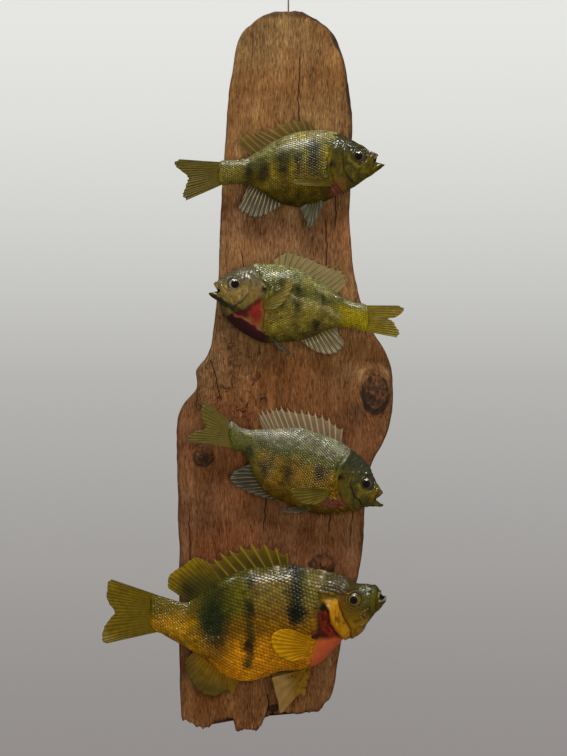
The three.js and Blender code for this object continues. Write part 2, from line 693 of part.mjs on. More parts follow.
const THIRD_FISH = {
  side: -1,
  form: {
    lean: { head: 3, tail: 5, neck: 45, waist: 90, side: -1 },
    ribs: [
      [-0.9, 0, -0.9, 0, 0],
      [0, 5.4, 0, -5.4, 3],
      [3.1, 10.7, 5.4, -7.1, 5.5],
      [7.6, 18.5, 13.5, -7.1, 8],
      [12.1, 29.3, 22.4, -9.2, 10],
      [20.7, 38.6, 33.2, -12.3, 12],
      [30.5, 46.3, 45.8, -13.6, 14],
      [42.2, 53, 60.2, -13.2, 15],
      [56.6, 58.4, 74.5, -8.1, 14.5],
      [72.7, 63.3, 88, -2.4, 13],
      [88.9, 63.7, 101.5, 3, 11],
      [105.1, 62.5, 113.1, 16.2, 8.5],
      [117.6, 62.4, 120.3, 32.6, 6.5],
      [127.5, 64, 125.7, 42.2, 5],
      [136.5, 69.5, 133.8, 44.7, 3.5],
      [139.2, 57.5, 139.2, 57.5, 0],
    ],
  },
  eye: { x: 14.8, y: 14.4, radius: 6.4, bulge: 2.6 },
  gape: [[-6, 4.6], [0.2, 4.3], [8.1, 0.2], [0.2, -4.2], [-6, -4.6]],
  fins: [
    {
      base: [[38, 48], [57, 55], [78, 59.5], [96, 60], [107, 58.5]],
      tips: [
        [35.9, 64.6], [44, 70.5], [50.5, 75.6], [58.4, 78.3], [66.4, 80.8], [74.5, 82.7],
        [83.5, 83.8], [92, 85], [99.7, 84.8], [106.5, 82.5], [113.1, 79.5], [110.4, 70],
      ],
      spines: 12,
      dip: 0.16,
    },
    {
      base: [[85, 2], [98, 8], [108, 18], [115, 30]],
      edge: [
        [91, -1.5], [101.5, 0], [110, 2], [118, 5], [126, 8], [134, 12], [138.3, 17.1],
        [135.6, 23.3], [128.4, 27.8], [118.5, 32],
      ],
    },
    {
      base: [[134, 67], [136, 57.5], [132, 46]],
      edge: [
        [160.7, 88.9], [162.8, 82], [162.6, 72], [159.8, 63.7], [168, 61.2], [176.9, 55],
        [174, 51.8], [166, 50.2],
      ],
    },
  ],
  pelvic: { base: [[60, -9], [66, -8]], edge: [[80, -12.5], [95.2, -11.5], [92, -9.5], [80, -7]] },
  pectoral: {
    base: [[48, 9], [48.5, 3]],
    edge: [[60, 10.5], [81.7, 10.5], [81.5, 4], [74.5, -3.6], [60, -4.5]],
  },
};

const SMALL_HALF_WIDTH = { top: 15, second: 15.5, third: 15 };

// Body, fins and eyes joined into one solid, with the mouth cut open and the wall side flattened.
function smallFishSolid({ side, form, eye, gape, fins, pelvic, pectoral }, seatDepth) {
  const fish = new Fish(form);
  const thickness = SMALL_FIN_THICKNESS;
  const flank = (x, y) => fish.flankAt(x, y);
  const plates = fins.map(({ base, edge, tips, spines, dip }) =>
    fish.finSolid({
      base, thickness, edge: edge ?? spinyEdge(base, tips, spines, dip), rays: edge ? 8 : 2 * (spines - 1),
    }),
  );
  plates.push(
    fish.finSolid({
      ...pelvic, rays: 4, thickness, stand: (x, y, out) => fish.leanAt(x) + side * (3 + 3 * out),
    }),
    fish.finSolid({
      ...pectoral, rays: 5, rows: 2, thickness,
      stand: (x, y, out) => fish.leanAt(x) + side * (flank(x, y) + 0.2 + 3 * out),
    }),
  );
  for (const facing of [side, -side]) {
    const out = fish.flankAt(eye.x, eye.y) + eye.bulge - eye.radius;
    plates.push(ball([eye.x, eye.y, fish.leanAt(eye.x) + facing * out], eye.radius));
  }
  const seat = new THREE.BoxGeometry(FLAT_DEPTH, FLAT_DEPTH, 60);
  const wall = solid(seat.translate(100, 0, -side * (seatDepth - GAP + 30)));
  const joined = plates.reduce((sum, plate) => sum.add(plate), fish.bodySolid(20, 10));
  return largest(joined.subtract(prism(gape)).subtract(wall));
}

// ---------------------------------------------------------------- everything in its place

// Sets a fish on the board: its mouth at (x, z) on the board and its middle plane in front of the
// wood. One that faces right is turned half round, so that its tail points to the left.
function placed(meshes, facesRight, x, z, seatDepth) {
  const group = new THREE.Group();
  group.add(...meshes);
  group.rotation.set(Math.PI / 2, 0, facesRight ? Math.PI : 0, "ZYX");
  group.position.set(x, -BOARD_THICKNESS - seatDepth, z);
  return group;
}

function smallFish(name, fish, halfWidth, material, facesRight, x, z) {
  const seatDepth = halfWidth - SEAT_FLAT;
  const made = meshOf(name, smallFishSolid(fish, seatDepth), material);
  return placed([made], facesRight, x, z, seatDepth);
}

const group = new THREE.Group();
group.add(
  meshOf("driftwood_board", boardSolid(), DRIFTWOOD),
  meshOf("hanger_eye", eyeRingSolid(), HANGER_WIRE),
  meshOf("hanger_wire", wireSolid(), HANGER_WIRE),
  meshOf("hanger_loop", loopSolid(), HANGER_WIRE),
  placed(mainFishMeshes(), true, 89.5, -203.6, MAIN_SEAT),
  smallFish("top_fish", TOP_FISH, SMALL_HALF_WIDTH.top, SKIN_GREEN, true, 85.3, 189.9),
  smallFish("second_fish", SECOND_FISH, SMALL_HALF_WIDTH.second, SKIN_GREEN, false, -66, 72.3),
  smallFish("third_fish", THIRD_FISH, SMALL_HALF_WIDTH.third, SKIN_GREEN, true, 87.1, -114.5),
);

export default group;
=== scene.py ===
# %% [markdown]
# # Four mounted sunfish on a driftwood board
# The frame holds the solids of a wall board that carries four stuffed sunfish. Here each fish
# gets a continuous skin, overlapping scales, rayed fins and glass eyes, and the board gets its
# grain, knots and broken end. Everything is worked out as whole numpy arrays in millimetres and
# turned into metres when a mesh is made.

from collections import namedtuple
from types import SimpleNamespace

import bpy
import numpy as np
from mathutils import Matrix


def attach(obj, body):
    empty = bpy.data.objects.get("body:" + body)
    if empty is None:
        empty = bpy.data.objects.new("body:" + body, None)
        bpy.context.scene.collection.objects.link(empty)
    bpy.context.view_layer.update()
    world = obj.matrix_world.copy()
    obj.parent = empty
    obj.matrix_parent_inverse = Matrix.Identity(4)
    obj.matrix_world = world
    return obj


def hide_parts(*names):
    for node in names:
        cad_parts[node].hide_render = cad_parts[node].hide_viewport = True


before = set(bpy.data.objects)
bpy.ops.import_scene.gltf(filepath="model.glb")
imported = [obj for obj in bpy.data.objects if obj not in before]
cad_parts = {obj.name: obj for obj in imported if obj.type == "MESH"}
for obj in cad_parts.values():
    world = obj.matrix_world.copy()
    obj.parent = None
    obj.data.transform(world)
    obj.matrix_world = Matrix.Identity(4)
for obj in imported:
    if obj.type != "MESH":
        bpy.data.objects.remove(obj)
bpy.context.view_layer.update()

# %% [markdown]
# ## Where the viewer stands
# The board is seen straight on, from a little under two metres. A long lens keeps the fish, which
# stand out of the board, almost the same size as things level with the wood.

# %% Camera
MM = 0.001
VIEW_DEPTH = 30  # how far in front of the wall the viewed plane stands
VIEW_DISTANCE, VIEW_HEIGHT = 1900, 680.4  # to that plane, and what is seen of it
VIEW_X, VIEW_Z = -2.25, -5.85
SENSOR = 36

camera_data = bpy.data.cameras.new("camera")
camera_data.sensor_width = SENSOR
camera_data.lens = SENSOR * VIEW_DISTANCE / VIEW_HEIGHT
camera = bpy.data.objects.new("camera", camera_data)
camera.location = (VIEW_X * MM, -(VIEW_DISTANCE + VIEW_DEPTH) * MM, VIEW_Z * MM)
camera.rotation_euler = (np.pi / 2, 0, 0)
bpy.context.scene.collection.objects.link(camera)
bpy.context.scene.camera = camera
print(f"lens {camera_data.lens:.1f} mm")

# %% [markdown]
# ## Two kinds of mesh
# Almost every piece here is a stack of closed rings: a fish from snout to tail, a fin from its
# first ray to its last, the board from foot to top. The first and the last ring are closed by a
# point in their middle. Many small things, such as scales, are one small pattern of faces
# repeated over an array of points.

# %% Mesh helpers
def new_object(name, points, faces, body="root"):
    """An object from an (n, 3) array in millimetres and an (m, 3) array of faces. It rides on the
    body, if there is one."""
    mesh = bpy.data.meshes.new(name)
    mesh.from_pydata((points * MM).tolist(), [], faces.tolist())
    mesh.polygons.foreach_set("use_smooth", np.ones(len(mesh.polygons), bool))
    mesh.update()
    made = bpy.data.objects.new(name, mesh)
    bpy.context.scene.collection.objects.link(made)
    if body:
        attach(made, body)
    return made


def facing_out(points, triangles):
    """The triangles, turned round if the volume they enclose, a sixth of the sum of each
    triangle's corners' triple product, comes out negative."""
    a, b, c = (points[triangles[:, i]] for i in range(3))
    volume = np.einsum("ij,ij->i", a, np.cross(b, c)).sum()
    return triangles if volume > 0 else triangles[:, ::-1]


def ring_faces(rings, around):
    """Triangles between neighbouring rings of `around` points, and to one point at each end."""
    i, j = np.meshgrid(np.arange(rings - 1), np.arange(around), indexing="ij")
    here, right = i * around + j, i * around + (j + 1) % around
    sides = np.stack([here, right, right + around, here, right + around, here + around], -1)
    j = np.arange(around)
    first, last = rings * around, rings * around + 1
    start = np.stack([(j + 1) % around, j, np.full(around, first)], -1)
    base = (rings - 1) * around
    end = np.stack([base + j, base + (j + 1) % around, np.full(around, last)], -1)
    return np.concatenate([sides.reshape(-1, 3), start, end])


def stack(name, rings):
    """A closed object from an array of rings, (rings, around, 3), in millimetres."""
    count, around = rings.shape[:2]
    points = np.concatenate([rings.reshape(-1, 3), [rings[0].mean(0), rings[-1].mean(0)]])
    made = new_object(name, points, facing_out(points, ring_faces(count, around)))
    made["around"] = around
    return made


def store(made, name, values, kind="FLOAT_VECTOR", field="vector"):
    """Stores a row of values for each vertex. The two points that close a stack take the mean of
    their ring."""
    if len(values) == len(made.data.vertices) - 2:
        around = made["around"]
        values = np.concatenate([values, [values[:around].mean(0), values[-around:].mean(0)]])
    layer = made.data.attributes.new(name, kind, "POINT")
    layer.data.foreach_set(field, values.astype(np.float32).ravel())


def paint(made, colours):
    """Stores an array of colours (..., 3) as the hue of the vertices."""
    colours = np.clip(colours.reshape(-1, 3), 0, 1)
    rgba = np.concatenate([colours, np.ones((len(colours), 1))], 1)
    store(made, "hue", rgba, "FLOAT_COLOR", "color")


# %% [markdown]
# ## Curves, masks and noise
# A smooth curve through a few points gives each outline. Masks that rise smoothly from 0 to 1
# place each marking and each fold, and a soft random field breaks them up.

# %% Curves and fields
def through(rows, at):
    """A cubic curve through rows of [input, output...]. Its slope at a row is the slope between
    the rows before and after."""
    rows = np.asarray(rows, float)
    x, y = rows[:, 0], rows[:, 1:]
    before = np.maximum(np.arange(len(x)) - 1, 0)
    after = np.minimum(np.arange(len(x)) + 1, len(x) - 1)
    slope = (y[after] - y[before]) / (x[after] - x[before])[:, None]
    at = np.clip(np.asarray(at, float), x[0], x[-1])
    i = np.clip(np.searchsorted(x, at, side="right") - 1, 0, len(x) - 2)
    step = (x[i + 1] - x[i])[..., None]
    t = (at - x[i])[..., None] / step
    return (
        (2 * t**3 - 3 * t**2 + 1) * y[i]
        + (t**3 - 2 * t**2 + t) * step * slope[i]
        + (3 * t**2 - 2 * t**3) * y[i + 1]
        + (t**3 - t**2) * step * slope[i + 1]
    )


def evenly(rows, at):
    """The same for rows without an input, spread evenly over 0 to 1."""
    rows = np.asarray(rows, float)
    return through(np.column_stack([np.linspace(0, 1, len(rows)), rows]), at)


def rise(low, high, x):
    """0 below low, 1 above high and an S-shaped slope between: 3t^2 - 2t^3."""
    t = np.clip((x - low) / (high - low), 0, 1)
    return t * t * (3 - 2 * t)


def band(x, at, width, power=2):
    """A soft stripe: e to the minus square (or another power) of the distance in half widths."""
    return np.exp(-(((x - at) / width) ** power))


def blob(u, v, at, size):
    """A soft spot: e to the minus square of the distance, measured in its own half sizes."""
    return np.exp(-(((u - at[0]) / size[0]) ** 2) - ((v - at[1]) / size[1]) ** 2)


def oval(u, v, at, size):
    """How many of its own half sizes a point is from the middle of an oval."""
    return np.hypot((u - at[0]) / size[0], (v - at[1]) / size[1])


def mix(a, b, share):
    """Goes from a to b as share goes from 0 to 1, at each point."""
    a, b = np.asarray(a), np.asarray(b)
    return a + (b - a) * np.asarray(share)[..., None]


def lumps(x, y, width, height, seed):
    """A smooth random field from -1 to 1: random numbers on a grid of cells width by height,
    blended inside each cell with the S-shaped slope."""
    table = np.random.default_rng(seed).uniform(-1, 1, (64, 64))
    x, y = x / width, y / height
    i, j = np.floor(x).astype(int), np.floor(y).astype(int)
    s, t = rise(0, 1, x - i), rise(0, 1, y - j)
    corner = [table[(i + a) % 64, (j + b) % 64] for b in (0, 1) for a in (0, 1)]
    low = corner[0] * (1 - s) + corner[1] * s
    high = corner[2] * (1 - s) + corner[3] * s
    return low * (1 - t) + high * t


def beside(u, v, line):
    """How far a point is from a broken line. It is positive on the left of its direction."""
    line = np.asarray(line, float)
    best = np.full(np.shape(u), 1e9)
    for (au, av), (bu, bv) in zip(line[:-1], line[1:]):
        du, dv = bu - au, bv - av
        t = np.clip(((u - au) * du + (v - av) * dv) / (du * du + dv * dv), 0, 1)
        pu, pv = u - au - t * du, v - av - t * dv
        side = np.where(du * (v - av) - dv * (u - au) >= 0, 1.0, -1.0)
        far = np.hypot(pu, pv)
        best = np.where(far < np.abs(best), far * side, best)
    return best


print("curve check", evenly([[0.0], [1.0], [0.0]], [0, 0.5, 1]).ravel())

# %% [markdown]
# ## Shader maths
# A finish is easier to read as sums than as a list of nodes. `Amount` wraps a socket, so that
# `1 - mask` adds the Math node for it, and `Finish` holds one material and adds any other node.

# %% Shader helpers
class Amount:
    """A number that varies over a surface."""

    def __init__(self, finish, socket):
        self.finish, self.socket = finish, socket

    def math(self, operation, *others, swap=False):
        values = [self, *others]
        if swap:
            values.reverse()
        node = self.finish.node("ShaderNodeMath", dict(enumerate(values)), operation=operation)
        return Amount(self.finish, node.outputs[0])

    def __add__(self, other):
        return self.math("ADD", other)

    def __sub__(self, other):
        return self.math("SUBTRACT", other)

    def __rsub__(self, other):
        return self.math("SUBTRACT", other, swap=True)

    def __mul__(self, other):
        return self.math("MULTIPLY", other)

    def __truediv__(self, other):
        return self.math("DIVIDE", other)

    __radd__ = __add__
    __rmul__ = __mul__

    def between(self, low, high):
        """0 below low, 1 above high, smooth between."""
        inputs = {0: self, 1: low, 2: high}
        node = self.finish.node("ShaderNodeMapRange", inputs, interpolation_type="SMOOTHSTEP")
        return Amount(self.finish, node.outputs[0])


class Finish:
    """One material with a Principled shader."""

    def __init__(self, name, **constants):
        self.material = bpy.data.materials.new(name)
        self.material.use_nodes = True
        self.tree = self.material.node_tree
        self.tree.nodes.clear()
        self.shader = self.node("ShaderNodeBsdfPrincipled", constants)
        self.node("ShaderNodeOutputMaterial", {"Surface": self.shader.outputs[0]})

    def node(self, kind, inputs=None, stops=None, **settings):
        """A new node of that kind, with its settings, its ramp's stops and its inputs."""
        made = self.tree.nodes.new(kind)
        for key, value in settings.items():
            setattr(made, key, value)
        if stops:
            ramp = made.color_ramp
            while len(ramp.elements) < len(stops):
                ramp.elements.new(0.5)
            for element, (position, colour) in zip(ramp.elements, stops):
                element.position = position
                element.color = (*colour, 1)
        self.feed(made, inputs or {})
        return made

    def feed(self, node, inputs):
        """Links sockets to what feeds them, or sets their constants."""
        for key, value in inputs.items():
            socket = node.inputs[key.replace("_", " ") if isinstance(key, str) else key]
            value = value.socket if isinstance(value, Amount) else value
            if isinstance(value, bpy.types.NodeSocket):
                self.tree.links.new(value, socket)
            elif value is not None:
                socket.default_value = value

    def set(self, **inputs):
        """Links or sets sockets of the shader."""
        self.feed(self.shader, inputs)

    def stored(self, name, output="Color"):
        """What a piece's mesh stores under that name."""
        return self.node("ShaderNodeAttribute", attribute_name=name).outputs[output]

    def place(self):
        return self.node("ShaderNodeTexCoord").outputs["Object"]

    def vector(self, operation, *values):
        """One Vector Math node's outputs: its vector, and its number for a length."""
        node = self.node("ShaderNodeVectorMath", dict(enumerate(values)), operation=operation)
        return node.outputs

    def stretched(self, vector, scale):
        """A vector with each of its parts made larger or smaller."""
        return self.vector("MULTIPLY", vector, scale)[0]

    def parts(self, vector):
        """The three numbers of a vector."""
        node = self.node("ShaderNodeSeparateXYZ", {0: vector})
        return [Amount(self, part) for part in node.outputs]

    def speckle(self, vector, scale, detail=2.0, rough=0.5):
        inputs = {"Vector": vector, "Scale": scale, "Detail": detail, "Roughness": rough}
        return Amount(self, self.node("ShaderNodeTexNoise", inputs).outputs[0])

    def blend(self, a, b, share, mode="MIX"):
        """Colours a and b mixed by share."""
        inputs = {0: share, 6: a, 7: b}
        return self.node("ShaderNodeMix", inputs, data_type="RGBA", blend_type=mode).outputs[2]

    def ramp(self, amount, stops):
        return self.node("ShaderNodeValToRGB", {0: amount}, stops=stops).outputs[0]

    def bump(self, height, distance, strength=1.0):
        inputs = {"Height": height, "Distance": distance, "Strength": strength}
        return self.node("ShaderNodeBump", inputs).outputs[0]


print("helpers ready")

# %% [markdown]
# ## The hanging wire
# One dull brass wire comes up from a screw eye in the back of the board and goes on out of sight,
# so it is a short taut cord that ends in a twisted loop. A tube whose section is a figure of two
# strands, turned steadily along its length, reads as twisted wire.

# %% Wire
WIRE_X, WIRE_Y, WIRE_FOOT, WIRE_HEAD, WIRE_WIDTH = 2.2, -3.0, 304.9, 340.0, 1.5
WIRE_POINTS, WIRE_TURNS = 60, 6
LOOP_RADIUS, LOOP_WIRE, LOOP_POINTS, LOOP_TURNS = 5.0, 0.7, 90, 12
LOOP_GAP = 0.3


def twisted_tube(name, path, radius, turns, around=16):
    """Rings round a path: radius times 0.86 + 0.14 |cos(angle - turn)|, with turn growing along it,
    in the plane of the path's two side directions."""
    ahead = np.gradient(path, axis=0)
    ahead /= np.linalg.norm(ahead, axis=1)[:, None]
    side = np.cross(ahead, [0, 1, 0])
    side /= np.linalg.norm(side, axis=1)[:, None]
    other = np.cross(ahead, side)
    angle = np.linspace(0, 2 * np.pi, around, endpoint=False)[None, :, None]
    turn = np.linspace(0, turns * 2 * np.pi, len(path))[:, None, None]
    reach = radius * (0.86 + 0.14 * np.abs(np.cos(angle - turn)))
    rings = path[:, None] + reach * (np.cos(angle) * side[:, None] + np.sin(angle) * other[:, None])
    return stack(name, rings)


climb = np.linspace(WIRE_FOOT, WIRE_HEAD, WIRE_POINTS)
wire_path = np.stack([0 * climb + WIRE_X, 0 * climb + WIRE_Y, climb], -1)
wire = twisted_tube("wire", wire_path, WIRE_WIDTH / 2, WIRE_TURNS)
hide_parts("hanger_wire")

turn = np.linspace(-np.pi / 2, 1.5 * np.pi, LOOP_POINTS)
loop_x, loop_z = WIRE_X + LOOP_RADIUS * np.cos(turn), LOOP_RADIUS * np.sin(turn)
loop_z += WIRE_HEAD + LOOP_GAP + LOOP_RADIUS + LOOP_WIRE
loop_path = np.stack([loop_x, WIRE_Y + 0.02 * turn, loop_z], -1)
loop = twisted_tube("wire_loop", loop_path, LOOP_WIRE, LOOP_TURNS)
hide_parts("hanger_loop")
print("wire", len(wire.data.polygons), "loop", len(loop.data.polygons))

# %% Wire finish
dull_wire = Finish("dull_wire", Metallic=0.8, Roughness=0.45)
tarnish = dull_wire.speckle(dull_wire.place(), 900, 4)
dull_wire.set(
    Base_Color=dull_wire.ramp(tarnish, [(0.3, (0.10, 0.085, 0.04)), (0.7, (0.34, 0.30, 0.17))]),
    Roughness=0.35 + tarnish * 0.3,
)
for piece in (wire, loop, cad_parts["hanger_eye"]):
    piece.data.materials.clear()
    piece.data.materials.append(dull_wire.material)
print("wire finish on", wire.name, loop.name, "hanger_eye")

# %% [markdown]
# ## The driftwood board
# The plank is a stack of rounded oblongs, from the broken foot to the round top, with both edges
# read from smooth curves. Its front is pushed in and out by slow waves, by fine grain ridges that
# run up the board and part round the knots, and by cracks.

# %% Board outline
BOARD_THICKNESS, CORNER = 22.0, 4.0
BOARD_EDGES = [
    [-330, -91, 24], [-302.6, -95, 34], [-284.5, -95.5, 42.7], [-261.8, -96, 46.5],
    [-225.5, -96.8, 53.6], [-189.2, -97.3, 64.5], [-152.9, -97, 70.5], [-125.7, -98, 71.5],
    [-98.4, -98.6, 74.2], [-80.3, -98.8, 79], [-66.7, -99, 86.7], [-53, -98.6, 93],
    [-39.4, -96.6, 96], [-27.6, -91, 97.2], [-15, -80.8, 97.3], [0.5, -81.2, 96.3],
    [6, -78, 95], [13.2, -72, 92], [24, -68, 86], [42, -65.8, 75.3], [65, -62.8, 67.2],
    [92, -60.8, 61.5], [120, -59.9, 58.3], [156, -58.5, 58], [201, -55.8, 58.8],
    [228, -54, 59.3], [255.5, -51, 57.2], [278, -48.5, 53], [292, -45.2, 48.2], [301, -42, 44.3],
    [310, -35.6, 38], [316.3, -28.4, 30], [321.8, -20, 21.7], [325.5, -11, 14],
]
BROKEN_END = np.array([
    [-95, -316], [-86, -316.5], [-81, -321], [-75, -323], [-70, -320.5], [-64, -317],
    [-58, -316], [-52, -313.5], [-47.5, -315], [-45.5, -324.5], [-43, -325.5], [-36, -323.5],
    [-27, -324], [-22, -320], [-19, -313], [-14.5, -310], [-5, -309.4], [4, -308], [13, -309],
    [22, -307], [30, -307], [34, -302],
])
PATCHES_AND_PAINTED_LIGHT = [  # shade, place, half sizes, then how much a field breaks it up, cell height, seed
    # paler over the burl's upper left, with the swirling band: partly pale grain, partly painted highlight
    (-0.35, (58, 2), (10, 8), 0, 1, 1),
    (0.16, (2, 130), (34, 15), 0.7, 22, 25),
    # painted light: paler at the right edge, lifting the shadow under the third fish's head
    (-0.5, (60, -148), (9, 26), 0, 1, 1),
    (-0.385, (35, -278), (10, 32), 5 / 7, 20, 24),
    # painted shade: darker at the lower left of the burl, under its swelling
    (0.5, (64, -34), (9, 16), 0, 1, 1),
    (0.55, (78, 11), (13, 2.5), 0, 1, 1),
]
Knot = namedtuple("Knot", "place size height")  # its centre, its half sizes and how far it rises
BURL = Knot((81.0, -19.5), (12.0, 18.0), 4.5)
KNOTS = [BURL, Knot((-74.8, -76.0), (9.2, 9.2), 1.4), Knot((32.5, -174.9), (11.0, 11.0), 2.0)]


def grain_line(x, z):
    """Which line of grain passes through a point: x, pushed aside near each knot as water is by a
    round stone, by 1.1 (x - centre) / (1.2 + reach^2)."""
    line = x + 4 * lumps(x, z, 60, 170, 5)
    for knot in KNOTS:
        reach = oval(x, z, knot.place, knot.size)
        line = line - (x - knot.place[0]) / (1.2 + reach**2) * 1.1
    return line


def board_relief(x, z):
    """How far the front stands out, in millimetres, and its shade: 1 is dark, -1 is pale. Waves and fine
    grain come first, then pits, the knots with a gapped groove round each, and the pale swirling band over
    the burl's upper side, partly pale grain and partly painted highlight. Patches follow, some of them
    painted light and painted shade. Layers of peeling wood are whole steps."""
    line = grain_line(x, z)
    out = 0.9 * lumps(x, z, 38, 90, 1) + 0.35 * lumps(line, z, 11, 60, 2)
    out += 0.22 * lumps(line, z, 3.4, 24, 3) + 0.22 * lumps(line, z, 1.7, 9, 4)
    pits = rise(0.42, 0.8, lumps(line, z, 1.9, 8, 13)) * rise(-0.3, 0.5, lumps(x, z, 26, 30, 14))
    out -= 0.45 * pits
    dark = 0.35 * pits
    gapped = rise(-0.5, 0.4, lumps(x, z, 9, 9, 8))
    lump = lumps(x, z, 3.5, 5, 9) + 0.6 * lumps(x, z, 1.8, 2.2, 15)
    for knot in KNOTS:
        reach = oval(x, z, knot.place, knot.size)
        inside = 1 - rise(0.8, 1.1, reach)
        out += knot.height * np.exp(-(reach**2.4) * 0.7) + 0.9 * lump * inside
        out -= 1.5 * band(reach, 1.12, 0.13) * gapped
        dark += 0.3 * inside
    # Over the burl's upper side a pale swirling band, partly pale grain and partly painted highlight on
    # its raised ridge.
    swirl_and_highlight = band(oval(x, z, BURL.place, BURL.size) + 0.16 * lumps(x, z, 8, 8, 18), 1.38, 0.24)
    swirl_and_highlight = swirl_and_highlight * rise(2, 14, z - BURL.place[1])
    out += 1.2 * swirl_and_highlight
    dark -= 0.6 * swirl_and_highlight * (0.75 + 0.5 * lumps(x, z, 3, 3, 19))
    for shade, place, size, strength, height, seed in PATCHES_AND_PAINTED_LIGHT:
        dark += shade * blob(x, z, place, size) * (1 + strength * lumps(line, z, 4, height, seed))
    return out + 0.55 * np.round(layers(x, z)), dark


def layers(x, z):
    """Which layer of peeling wood lies open: a random field of steps, in one patch on the left."""
    patch = rise(-86, -72, x) * rise(-12, -28, x) * rise(-54, -36, z) * rise(66, 44, z)
    bent = x + 2.2 * lumps(x, z, 1.8, 4, 17), z + 4.0 * lumps(x, z, 3.0, 1.6, 20)
    return 2.0 * patch * lumps(*bent, 9, 30, 16)


def crack(x, z, line, width, depth):
    """A groove along a broken line: depth times a soft stripe."""
    return -depth * band(beside(x, z, line), 0, width)


print("board outline", through(BOARD_EDGES, [-200.0, 0.0, 300.0]).round(1).tolist())

# %% Board mesh
BOARD_ROWS, FRONT_POINTS, BACK_POINTS = 480, 136, 30
FOOT_LEVEL, HEAD_LEVEL, TALLEST_RELIEF = -316, 325.5, 5.6
CRACKS = [  # line, width, depth
    ([(-68.6, 12), (-64, -4), (-58.7, -28)], 0.7, 1.6),
    ([(-18, -312), (-15, -300), (-17, -291)], 0.9, 3),
    ([(12, 215), (11, 250), (13, 290)], 0.4, 0.9),
    ([(35, 140), (37, 118), (36, 94)], 0.4, 0.8),
    ([(43, 172), (45, 150), (44, 128)], 0.4, 0.8),
    ([(-40, 62), (-38, 92), (-41, 112)], 0.4, 0.7),
    ([(58, -95), (60, -128), (57, -160)], 0.4, 0.9),
    ([(40, -60), (42, -110), (38, -150)], 0.5, 1.2),
    ([(-20, -60), (-17, -100), (-21, -150)], 0.5, 1.0),
    ([(-88, -120), (-86, -180), (-88, -240)], 0.6, 1.4),
]


def splits(x, z):
    """For the finish: how far a point is to the right of the crack beside it, how open that crack
    is at this height (0 if there is none), and the layer."""
    right, near = np.full(x.shape, 9.0), np.zeros(x.shape)
    for line, _width, _depth in CRACKS:
        levels, places = np.array(sorted((b, a) for a, b in line)).T
        middle = np.interp(z, levels, places) + 0.7 * lumps(0 * x, z, 4, 6, 23)
        share = (z - levels[0]) / (levels[-1] - levels[0])
        here = (np.abs(x - middle) < 4) & (share > 0) & (share < 1)
        right = np.where(here, x - middle, right)
        near = np.where(here, 4 * share * (1 - share), near)
    return np.stack([right, near, layers(x, z)], -1)


def oblong():
    """One section, as numbers that multiply the half width, the corner radius across, the half
    thickness and the corner radius through: left to right along the front, then back round."""
    quarter = np.linspace(0, np.pi / 2, 7)[1:-1]
    sine, cosine = np.sin(quarter), np.cos(quarter)
    runs = [
        (np.linspace(-1, 1, FRONT_POINTS), 0, -1, -1),
        (1, sine, -1, -cosine),
        (1, cosine, 1, sine),
        (np.linspace(1, -1, BACK_POINTS), 0, 1, 1),
        (-1, -sine, 1, cosine),
        (-1, -cosine, -1, -sine),
    ]
    return np.concatenate([np.broadcast_arrays(*run) for run in runs], axis=1)


def board_rings():
    """The rings and their shade. The sections are carried up between the two edges, the lowest
    are drawn down to the torn end, and the front is pushed out by the relief."""
    across, bend, deep, turn_in = oblong()
    level = np.linspace(FOOT_LEVEL, HEAD_LEVEL, BOARD_ROWS)[:, None]
    left, right = np.moveaxis(through(BOARD_EDGES, level[:, 0]), -1, 0)[..., None]
    centre, half = (left + right) / 2, (right - left) / 2
    corner = np.minimum(CORNER, half * 0.4)
    side = np.where(across < 0, -1.0, 1.0)
    ragged = (0.6 + 0.5 * rise(180, 260, level)) * lumps(side * 500 + 0 * level, level, 10, 23, 21)
    ragged = ragged + 0.25 * lumps(side * 90, level, 10, 6, 22)
    x = centre + across * (half - corner + ragged * np.abs(across) ** 6) + bend * corner
    y = -BOARD_THICKNESS / 2 + deep * (BOARD_THICKNESS / 2 - corner) + turn_in * corner
    z = np.broadcast_to(level, x.shape).copy()
    broken = np.interp(x, BROKEN_END[:, 0], BROKEN_END[:, 1])
    broken = broken + 1.6 * lumps(x, y, 3.0, 5.0, 31) + 1.0 * lumps(x, y, 1.5, 9.0, 32)
    z = z + (broken - z) * rise(0, 1, (-262 - z) / 54) ** 1.5
    z = z + np.where(level > 300, 0.7 * lumps(x, y, 4, 8, 33), 0)
    out, dark = board_relief(x, z)
    for line, width, depth in CRACKS:
        groove = crack(x, z, line, width, depth)
        out, dark = out + groove, dark - 0.25 * groove / depth
    front = np.clip(-deep * rise(0, 1, (half - np.abs(x - centre)) / 5), 0, 1)
    y = np.minimum(y - np.minimum(out, TALLEST_RELIEF) * front, np.where(deep > 0, -0.0, 10))
    uneven = 0.6 + 0.4 * lumps(x, z, 9, 14, 41)
    chipped = 1.4 * rise(4.0, 1.5, right - x + 1.5 * lumps(x, z, 6, 9, 43)) * rise(120, 230, z)
    chipped = np.maximum(chipped, rise(317, 322, z + 0.6 * lumps(x, y, 5, 8, 42)))
    paler = rise(26, 4, x - left) * rise(-24, -50, z) * (0.75 + 0.5 * lumps(x, z, 1.3, 16, 44))
    paler = paler + 0.8 * rise(6, 1, x - left) * rise(-70, 0, z)
    dark = dark * front + 0.8 * chipped * uneven - 0.75 * paler * uneven * front
    # Painted shade: darker along the underside of the torn end and in the notch above it.
    recess = rise(1.2, 0.8, oval(x - 0.6 * (z + 304), z, (-10, -304), (6, 4)))
    dark = dark + 0.75 * rise(3.5, 0.5, z - broken) * (1 - 0.5 * uneven) + 0.8 * recess
    return np.stack([x, y, z], -1), np.clip(dark, -1, 1)


